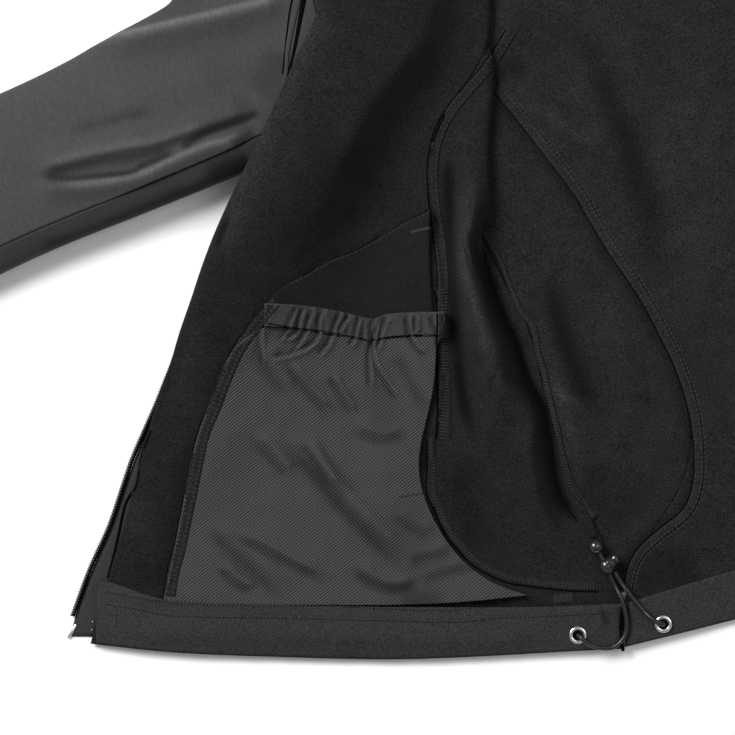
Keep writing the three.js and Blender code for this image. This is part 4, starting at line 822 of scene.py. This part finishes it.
# Each pleat gets painted shade in its crease and a painted highlight beside it; each fold in the mesh gets
# painted shade in its crease
pleat_lifts, pleat_shades = [], []
for path in PLEATS:
    pleat_lifts += [(path, (1.3, 1.3), -1.2, 0.12), (beside(path, 2.2), (1.7, 1.5), 1.0, 0.12)]
    pleat_shades += [(path, (0.8, 0.9), -0.95, 0.12), (beside(path, 2.0), (1.2, 1.2), 0.2, 0.15)]
mesh_lifts, mesh_shades = list(pleat_lifts), list(pleat_shades)
for path, wide, deep in MESH_FOLDS:
    mesh_lifts.append((path, (wide, wide), -0.9 * deep, 0.2))
    mesh_lifts.append((beside(path, 1.9 * wide), (wide, wide), 1.3 * deep, 0.2))
    mesh_shades.append((path, (wide * 0.7, wide * 0.8), -0.62 * deep, 0.2))
# Painted shade under the casing, near the hem and in broad hollows of the mesh
mesh_shades += [
    (picture((396, 597), (420, 600), (446, 604)), (6, 6), -0.8, 0.2),
    (picture((410, 490), (414, 540), (420, 590)), (12, 12), -0.22, 0.2),
    (picture((246, 420), (222, 480), (206, 540)), (10, 10), -0.15, 0.2),
    (picture((375, 372), (384, 410), (380, 440)), (8, 8), -0.25, 0.2),
]
mesh_pocket = fine_cloth("mesh_pocket_cloth", "mesh_pocket_right", 4, mesh_knit)
dress(mesh_pocket, mesh_lifts, mesh_shades, ((150, 2.6), (26, 1.3), (10, 0.5)), 17.0, everywhere, 0.88)


def plain_weave(tree, at):
    # Drawn 0.9 mm apart so that it shows
    return add(tree, "ShaderNodeTexNoise", {"Scale": 1100.0, "Detail": 2.0}, {"Vector": at}).outputs["Fac"]


def facing_cloth(name, dark, light):
    return cloth_material(
        name, plain_weave, ((0.35, dark), (0.7, light)), {"Strength": 0.3, "Distance": 0.0004},
        {"Roughness": 0.8, "Specular IOR Level": 0.25},
    )


casing_cloth = facing_cloth("elastic_casing_cloth", "#242424", "#373737")
casing = fine_cloth("pocket_casing_cloth", "pocket_casing_right", 3, casing_cloth)
dress(casing, pleat_lifts, pleat_shades, ((150, 2.8), (9, 0.6)), 18.0)

pocket_ground = ground_of(front, bag, mesh_pocket, casing, side_front)
CASING_FOOT = picture(
    (262, 323), (287, 327), (306, 330), (329, 335), (355, 337), (366, 340), (380, 339), (401, 337),
    (437, 336),
)
POCKET_LEFT = picture(
    (271, 299), (250, 325), (233, 349), (218, 383), (211, 402), (199, 430), (192, 459), (186, 489),
    (180, 518), (174, 547), (168, 569), (164, 594),
)
BAG_SEAM = picture((297, 280), (331, 261), (357, 250), (400, 225), (430, 210))
pocket_strip = lay_bands("pocket_seam_strip", pocket_ground, front_fleece, "fleece", [
    (beside(POCKET_LEFT, 3.6), (3.3, 3.3), 0.35, False),
])
# Near-black bands of painted shade in the ditches of the pocket's seams
lay_bands("pocket_painted_shade", pocket_ground, shade_and_core_black, "fleece", [
    (POCKET_LEFT, (0.45, 0.45), 0.15, False),
    (BAG_SEAM, (0.4, 0.4), 0.15, False),
    (CASING_FOOT, (0.35, 0.35), 0.15, False),
], 2)
pocket_ground = ground_of(front, bag, mesh_pocket, casing, side_front, pocket_strip)
sew("pocket_stitches", pocket_ground, thread, "fleece", [
    (POCKET_LEFT, 2.4, 1.9, 0.38, 30, 1.6), (POCKET_LEFT, 2.4, 1.9, 0.38, -30, 5.4),
    (POCKET_LEFT, 2.4, 1.9, 0.38, -30, 2.3), (POCKET_LEFT, 2.4, 1.9, 0.38, 30, 4.7),
    (BAG_SEAM, 2.6, 1.9, 0.4, 0, -1.3), (CASING_FOOT, 2.3, 1.7, 0.35, 8, 0.9),
])
sew("pocket_bartacks", pocket_ground, thread, "fleece", [
    (picture((411, 233), (424, 230), (438, 228)), 0.5, 2.2, 0.45, 86, 0.0),
    (picture((400, 496), (412, 494), (424, 492)), 0.5, 2.0, 0.45, 94, 0.0),
])


# Seams beside the open side seam. Where two panels of the front meet, the allowance is topstitched with two
# rows; the raw edges are overlocked, which shows as a band crossed by close threads.
over_thread = new_material("textured_overlock_thread", {"Base Color": linear("#29292A"), "Roughness": 0.9})[0]

FRONT_SEAM = picture(
    (506, 30), (492, 53), (479, 71), (459, 93), (441, 118), (431, 142), (427, 168), (428, 197), (431, 223),
    (434, 243), (437, 276), (437, 312),
)
FRONT_OVERLOCK = picture((442, 290), (444, 312), (444, 350), (445, 400), (444, 438))
PANEL_FOOT = picture(
    (427, 440), (427, 466), (427, 492), (434, 510), (444, 532), (458, 550), (473, 565), (492, 576),
    (510, 583), (538, 587), (568, 590), (596, 591),
)
SIDE_EDGE = picture(
    (479, 237), (487, 249), (498, 268), (506, 290), (517, 315), (529, 330), (532, 351), (539, 376),
    (544, 400), (550, 423), (556, 454), (565, 484), (579, 507), (590, 521),
)
side_ground = ground_of(front, side_front, back, side_back, bag, mesh_pocket, casing)
front_allowance = lay_bands("front_seam_allowance", side_ground, front_fleece, "fleece", [
    (beside(FRONT_SEAM, 3.1), (2.9, 2.9), 0.8, False),
])
overlocked = lay_bands("overlocked_bands", side_ground, front_fleece, "fleece", [
    (FRONT_OVERLOCK, (3.0, 3.6), 0.4, False),
    (beside(PANEL_FOOT, 2.7), (2.4, 2.4), 0.3, False),
])
side_edge = lay_bands("side_seam_edge", back_ground, fleece, "fleece", [
    (beside(SIDE_EDGE, 2.6), (1.0, 2.6), 1.3, False),
])
# Near-black bands of painted shade in the seams' ditches and the dark wedge at the panel's foot
lay_bands("side_seam_painted_shade", side_ground, shade_and_core_black, "fleece", [
    (FRONT_SEAM, (0.5, 0.5), 0.15, False),
    (beside(FRONT_OVERLOCK, -4.1), (0.5, 0.6), 0.2, False),
    (PANEL_FOOT, (0.6, 0.6), 0.2, False),
    (picture((429, 446), (428, 460), (427, 480)), (1.8, 0.4), 0.2, False),
], 2)
# A near-black band of painted shade in the valley beside the ridge
lay_bands("side_valley_painted_shade", side_ground, shade_and_core_black, "fleece", [(beside(VALLEY, 0.6), (1.7, 1.7), 0.1, True)])
strip_ground = ground_of(
    front, side_front, back, side_back, bag, mesh_pocket, casing, front_allowance, overlocked, side_edge,
)
sew("front_seam_stitches", strip_ground, thread, "fleece", [
    (FRONT_SEAM, 2.6, 1.9, 0.4, 6, 1.2), (FRONT_SEAM, 2.6, 1.9, 0.4, -6, 4.9),
])
sew("overlock_stitches", strip_ground, over_thread, "fleece", [
    (FRONT_OVERLOCK, 1.7, 6.2, 0.5, 84, 0.0),
    (PANEL_FOOT, 1.7, 4.2, 0.5, 80, 2.7),
    (SIDE_EDGE, 1.7, 3.4, 0.5, 75, 2.6),
])


# Hem facings: the shell cloth is turned up inside the hem, 27 mm deep, and makes the drawcord's tunnel. A
# coverstitch holds its upper edge: two rows of needle stitches with the looper's threads crossing between.
# Painted shade at the side seam and along the hem's foot, and a faint painted highlight along the coverstitch
HEM_SHADES = [
    (picture((600, 606), (603, 616), (606, 626)), (1.5, 1.5), -0.9, 0.1),
    (picture((619, 606), (620, 628), (622, 650)), (2, 2), -1.2, 0.0),
    (picture((110, 600), (160, 610), (220, 612), (330, 613), (454, 613), (590, 610)), (3, 3), 0.12, 0.05),
    (picture((100, 645), (170, 655), (330, 657), (460, 661), (600, 652)), (2.5, 2.5), -0.3, 0.0),
]
HEM_LIFTS = [
    (picture((110, 590), (163, 599), (330, 600), (454, 602), (590, 598)), (1.6, 1.6), 0.7, 0.02),
    (picture((120, 626), (180, 634), (330, 636), (460, 640), (560, 634)), (7, 5), 1.2, 0.1),
    (picture((594, 606), (598, 616), (601, 628)), (2.5, 1.5), 1.0, 0.1),
]
hem_cloth = facing_cloth("turned_up_shell", "#171717", "#303030")
hem_front = fine_cloth("hem_facing_front_cloth", "hem_facing_front_right", 3, hem_cloth)
dress(hem_front, HEM_LIFTS, HEM_SHADES, ((22, 0.7), (9, 0.3)), 19.0)
hem_back = fine_cloth("hem_facing_back_cloth", "hem_facing_back", 3, hem_cloth)
dress(hem_back, (), HEM_SHADES, ((22, 0.6),), 21.0)

HEM_LOWER = picture(
    (108, 603), (142, 609), (163, 613), (185, 615), (280, 617), (330, 618), (400, 620), (454, 621),
    (500, 617), (550, 615), (612, 612),
)
HEM_UPPER = picture(
    (110, 591), (142, 597), (163, 600), (185, 602), (236, 604), (280, 605), (330, 605), (400, 608),
    (454, 609), (480, 605), (522, 603), (612, 600),
)
HEM_MIDDLE = [((a + c) / 2, (b + d) / 2) for (a, b), (c, d) in zip(
    smooth_line(HEM_LOWER, 6).tolist(), smooth_line(HEM_UPPER, 6).tolist(),
)]
hem_ground = ground_of(front, side_front, hem_front, hem_back, back, side_back)
# A near-black band of painted shade in the notch at the side seam
lay_bands("hem_painted_shade", hem_ground, shade_and_core_black, "softshell", [
    (picture((622, 606), (620, 626), (622, 650)), (1.4, 0.9), 0.3, False),
], 2)
sew("hem_needle_rows", hem_ground, front_fleece, "softshell", [
    (HEM_LOWER, 2.0, 1.6, 0.55, 14, 0.0), (HEM_UPPER, 2.0, 1.6, 0.55, -14, 0.0),
])
sew("hem_coverstitch", hem_ground, thread, "softshell", [
    (HEM_MIDDLE, 1.7, 5.4, 0.4, 62, 0.0),
    (picture((163, 613), (163, 630), (164, 648)), 2.6, 1.9, 0.4, 0, 0.0),
    (picture((171, 614), (171, 630), (172, 649)), 2.6, 1.9, 0.4, 0, 0.0),
])
sew("hem_bartack", hem_ground, thread, "softshell", [
    (picture((554, 599), (562, 598), (571, 597)), 1.0, 6.6, 0.45, 78, 0.0),
])


# Zip tapes: flat woven polyester tape, a lighter grey than the cloth. The zip is a reverse coil: loops of a
# paler plastic stick out at the tape's edge, with the black core thread beside them.
tape_cloth = facing_cloth("woven_zip_tape", "#202021", "#313132")
tapes = {}
for node, cut in (("zip_tape_right", (0.014, 0.66)), ("zip_tape_left", (0.014, 0.63))):
    tapes[node] = fine_cloth(node + "_cloth", node, 2, tape_cloth)
    dress(tapes[node])

coil_plastic = new_material("polyester_coil", {"Base Color": linear("#68686A"), "Roughness": 0.4})[0]
TAPE_EDGE = [
    (-294, 13), (-284.5, 38.6), (-274, 62), (-265.5, 87), (-260.5, 101), (-249.5, 126), (-235, 160),
    (-215, 193), (-200, 226), (-176, 279), (-143, 348), (-128, 420), (-117, 500), (-112, 560),
    (-108, 626),
]

# The left edge runs straight down the garment's middle, at these heights above its hem. The frame's origin is
# given in the garment's own millimetres.
FRAME_ORIGIN = (-31.2122, 390.0699)
LEFT_EDGE_X, LEFT_EDGE_HEIGHTS = -1.0, (649, 580, 440, 300, 160, 22)
on_garment = np.array([(LEFT_EDGE_X, y) for y in LEFT_EDGE_HEIGHTS])
LEFT_EDGE = list(zip(*measured((on_garment - FRAME_ORIGIN) / 1000)))
for side, edge, way in (("right", TAPE_EDGE, 1), ("left", LEFT_EDGE, -1)):
    coil_ground = ground_of(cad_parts["zip_coil_" + side])
    core = lay_bands("coil_core_" + side, coil_ground, shade_and_core_black, "zip_coil", [
        (beside(edge, 0.9 * way), (1.15, 1.15), 0.1, False),
    ], 2)
    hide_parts("zip_coil_" + side)
    sew("coil_loops_" + side, coil_ground, coil_plastic, "zip_coil", [
        (beside(edge, 1.7 * way), 1.5, 2.2, 0.85, 90, 0.0),
    ])
tape_ground = ground_of(front, tapes["zip_tape_right"])
# A near-black band of painted shade in the groove between the rolled fleece edge and the tape
lay_bands("zip_facing_painted_shade", tape_ground, shade_and_core_black, "fleece", [
    (
        picture((151, 430), (142, 456), (136, 486), (126, 503), (119, 533), (114, 555), (108, 578)),
        (0.9, 0.7), 0.3, False,
    ),
], 2)


# Metal pieces: two pressed eyelets of nickel-plated brass in the hem, with a disc of painted shade inside
# each where the tunnel shows, and the pin at the foot of the zip with two clamps on the tape.
nickel = new_material(
    "nickel_plated_brass", {"Base Color": linear("#D8D9DA"), "Metallic": 1.0, "Roughness": 0.2},
)[0]
EYELET_RADIUS, EYELET_RIM, EYELET_FLATNESS = 0.0037, 0.0011, 0.62
MOUTH_RADIUS, MOUTH_THICK, MOUTH_UP = 0.0029, 0.0003, 0.0002
PIN_RADIUS, PIN_OVERHANG, PIN_ROUNDING = 0.00095, 0.0012, 0.0006


def node_box(node):
    points = coordinates_of(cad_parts[node])
    return points.min(axis=0), points.max(axis=0)


def round_edges(width, segments):
    rounding = bpy.context.object.modifiers.new("rounding", "BEVEL")
    rounding.width, rounding.segments, rounding.limit_method = width, segments, "ANGLE"
    bpy.ops.object.modifier_apply(modifier=rounding.name)


def finished(name, material, node=None, body="jacket"):
    """Settles the active object as one smooth piece that takes a solid's place."""
    piece = bpy.context.object
    piece.name = name
    bpy.ops.object.transform_apply(location=True, rotation=True, scale=True)
    piece.data.materials.clear()
    piece.data.materials.append(material)
    bpy.ops.object.shade_smooth()
    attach(piece, body)
    if node:
        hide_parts(node)
    bpy.ops.object.select_all(action="DESELECT")


for side in ("left", "right"):
    low, high = node_box("eyelet_" + side)
    centre = (low + high) / 2
    bpy.ops.mesh.primitive_torus_add(
        major_radius=EYELET_RADIUS, minor_radius=EYELET_RIM, major_segments=64, minor_segments=16,
        location=centre,
    )
    bpy.context.object.scale = (1, 1, EYELET_FLATNESS)
    finished("pressed_eyelet_" + side, nickel, "eyelet_" + side)
    # A near-black disc of painted shade in the eyelet's mouth
    bpy.ops.mesh.primitive_cylinder_add(
        vertices=48, radius=MOUTH_RADIUS, depth=MOUTH_THICK, location=(*centre[:2], low[2] + MOUTH_UP),
    )
    finished("eyelet_mouth_painted_shade_" + side, shade_and_core_black)

low, high = node_box("zip_pin")
tip, foot = place(*picture((76, 625))[0]), place(*picture((69, 637))[0])
bpy.ops.mesh.primitive_cylinder_add(
    vertices=32, radius=PIN_RADIUS, depth=(tip - foot).length + PIN_OVERHANG,
    location=((tip.x + foot.x) / 2, (tip.y + foot.y) / 2, (low[2] + high[2]) / 2),
    rotation=(math.pi / 2, 0, math.atan2(tip.y - foot.y, tip.x - foot.x) - math.pi / 2),
)
bpy.ops.object.transform_apply(rotation=True, location=False, scale=False)
round_edges(PIN_ROUNDING, 4)
finished("zip_pin_metal", nickel, "zip_pin")
sew("tape_clamps", tape_ground, nickel, "silver", [
    (picture((97, 621), (93, 621.5)), 4.0, 2.0, 0.7, 0, 0.0),
    (picture((96.5, 629), (92.5, 629.5)), 4.0, 2.0, 0.7, 0, 0.0),
])


# Moulded pieces in glossy black acetal: the round cord lock with its button, the bead on the cord's end with
# a hole through it, and the slider, box and pull of the zip. A strip of the casing's cloth holds the bead.
gloss = new_material(
    "moulded_acetal", {"Base Color": linear("#19191A"), "Roughness": 0.25, "Coat Weight": 0.6},
)[0]
# Sizes in metres; each OUT is how far out along the lock's axis, or the hole's, a shape is centred
LOCK_RADIUS, LOCK_FLATNESS = 0.0049, 0.9
COLLAR_RADIUS, COLLAR_DEEP, COLLAR_OUT = 0.0037, 0.0038, 0.0029
BORE_RADIUS, BORE_DEEP, BORE_OUT = 0.00325, 0.008, 0.0056
GROOVE_RADIUS, GROOVE_HALF, GROOVE_OUT = 0.0046, 0.0006, 0.0012
CAP_RADIUS, CAP_ROUNDING, CAP_CLEARANCE = 0.003, 0.0008, 0.0020
BEAD_RADIUS = 0.0041
HOLE_RADIUS, HOLE_DEEP, HOLE_OUT = 0.0012, 0.004, 0.0042
ZIP_ROUNDING = 0.00025


def cylinder(radius, depth, at, rotation, vertices=64):
    bpy.ops.mesh.primitive_cylinder_add(
        vertices=vertices, radius=radius, depth=depth, location=at, rotation=rotation,
    )
    return bpy.context.object


def combine(body, *steps):
    """Joins shapes to the body or cuts them out of it, in order, and leaves the body chosen."""
    bpy.context.view_layer.objects.active = body
    for operation, shape in steps:
        cut = body.modifiers.new("cut", "BOOLEAN")
        cut.operation, cut.object, cut.solver = operation, shape, "EXACT"
        bpy.ops.object.modifier_apply(modifier=cut.name)
        bpy.data.objects.remove(shape)
    bpy.ops.object.select_all(action="DESELECT")
    body.select_set(True)


axis = Vector((0.9397, 0.3420, 0))
turn = (0, math.pi / 2, math.atan2(axis.y, axis.x))
low, high = node_box("cord_lock")
lock_at = Vector((low + high) / 2)
bpy.ops.mesh.primitive_uv_sphere_add(
    segments=64, ring_count=32, radius=LOCK_RADIUS, location=lock_at, rotation=turn,
)
lock_body = bpy.context.object
lock_body.scale = (1, 1, LOCK_FLATNESS)
bpy.ops.object.transform_apply(location=False, rotation=True, scale=True)
# A collar holds the button; its bore leaves room for the button's travel, and a groove runs round the body
collar = cylinder(COLLAR_RADIUS, COLLAR_DEEP, lock_at + COLLAR_OUT * axis, turn)
bore = cylinder(BORE_RADIUS, BORE_DEEP, lock_at + BORE_OUT * axis, turn)
bpy.ops.mesh.primitive_torus_add(
    major_radius=GROOVE_RADIUS, minor_radius=GROOVE_HALF, major_segments=64, minor_segments=12,
    location=lock_at + GROOVE_OUT * axis, rotation=turn,
)
groove = bpy.context.object
combine(lock_body, ("UNION", collar), ("DIFFERENCE", bore), ("DIFFERENCE", groove))
finished("cord_lock_body", gloss, "cord_lock")

along = coordinates_of(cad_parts["cord_lock_button"]) @ np.array(axis)
# The cap starts farther out than the button's solid, so that it doesn't meet the cord when it is pressed
inner, outer = float(along.min()) + CAP_CLEARANCE, float(along.max())
reach = (inner + outer) / 2 - lock_at.dot(axis)
cylinder(CAP_RADIUS, outer - inner, lock_at + reach * axis, turn, 48)
round_edges(CAP_ROUNDING, 5)
finished("cord_lock_button_cap", gloss, "cord_lock_button", "button")

low, high = node_box("cord_bead")
bead_at = Vector((low + high) / 2)
bpy.ops.mesh.primitive_uv_sphere_add(segments=64, ring_count=32, radius=BEAD_RADIUS, location=bead_at)
bead = bpy.context.object
hole_way = Vector((-0.12, -0.5, 0.9)).normalized()
hole_turn = hole_way.to_track_quat("Z", "Y").to_euler()
combine(bead, ("DIFFERENCE", cylinder(HOLE_RADIUS, HOLE_DEEP, bead_at + HOLE_OUT * hole_way, hole_turn, 32)))
finished("cord_end_bead", gloss, "cord_bead")

for name, node, body in (
    ("zip_box_moulding", "zip_box", "jacket"),
    ("zip_slider_body", "zip_slider", "jacket"),
    ("zip_pull_tab", "zip_pull", "pull"),
):
    piece = new_object(name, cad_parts[node].data.copy())
    bpy.context.view_layer.objects.active = piece
    piece.select_set(True)
    bpy.ops.object.mode_set(mode="EDIT")
    bpy.ops.mesh.select_all(action="SELECT")
    bpy.ops.mesh.remove_doubles(threshold=WELD)
    bpy.ops.mesh.normals_make_consistent(inside=False)
    bpy.ops.object.mode_set(mode="OBJECT")
    round_edges(ZIP_ROUNDING, 3)
    finished(name, gloss, node, body)

dress(fine_cloth("loop_tab_cloth", "loop_tab", 2, bag_cloth))


# Closed left half, sleeve and collar, out of the photographed part: the same cloth, finished plainly.
for name, node, material, slot, cut, area, held in (
    ("front_left_cloth", "front_left", softshell, "softshell", (0.29, 0.74), 0.155, "laid"),
    ("side_front_panel_left", "side_front_left", softshell, "softshell", (0.125, 0.43), 0.0225, "laid"),
    ("pocket_welt_cloth", "pocket_welt_left", softshell, "softshell", (0.0125, 0.152), 0.0019, "laid"),
    ("sleeve_upper_left_cloth", "sleeve_upper_left", softshell, "softshell", (0.27, 0.68), 0.101, "laid"),
    ("sleeve_under_left_cloth", "sleeve_under_left", softshell, "softshell", (0.2, 0.62), 0.0712, "laid"),
    ("collar_back_cloth", "collar_back", fleece, "fleece", (0.17, 0.08), 0.013, "folded"),
    ("collar_left_cloth", "collar_left", softshell, "softshell", (0.12, 0.078), 0.0065, "folded"),
    ("collar_right_cloth", "collar_right", fleece, "fleece", (0.14, 0.078), 0.0101, "folded"),
):
    piece = fine_cloth(name, node, 2, material)
    dress(piece)
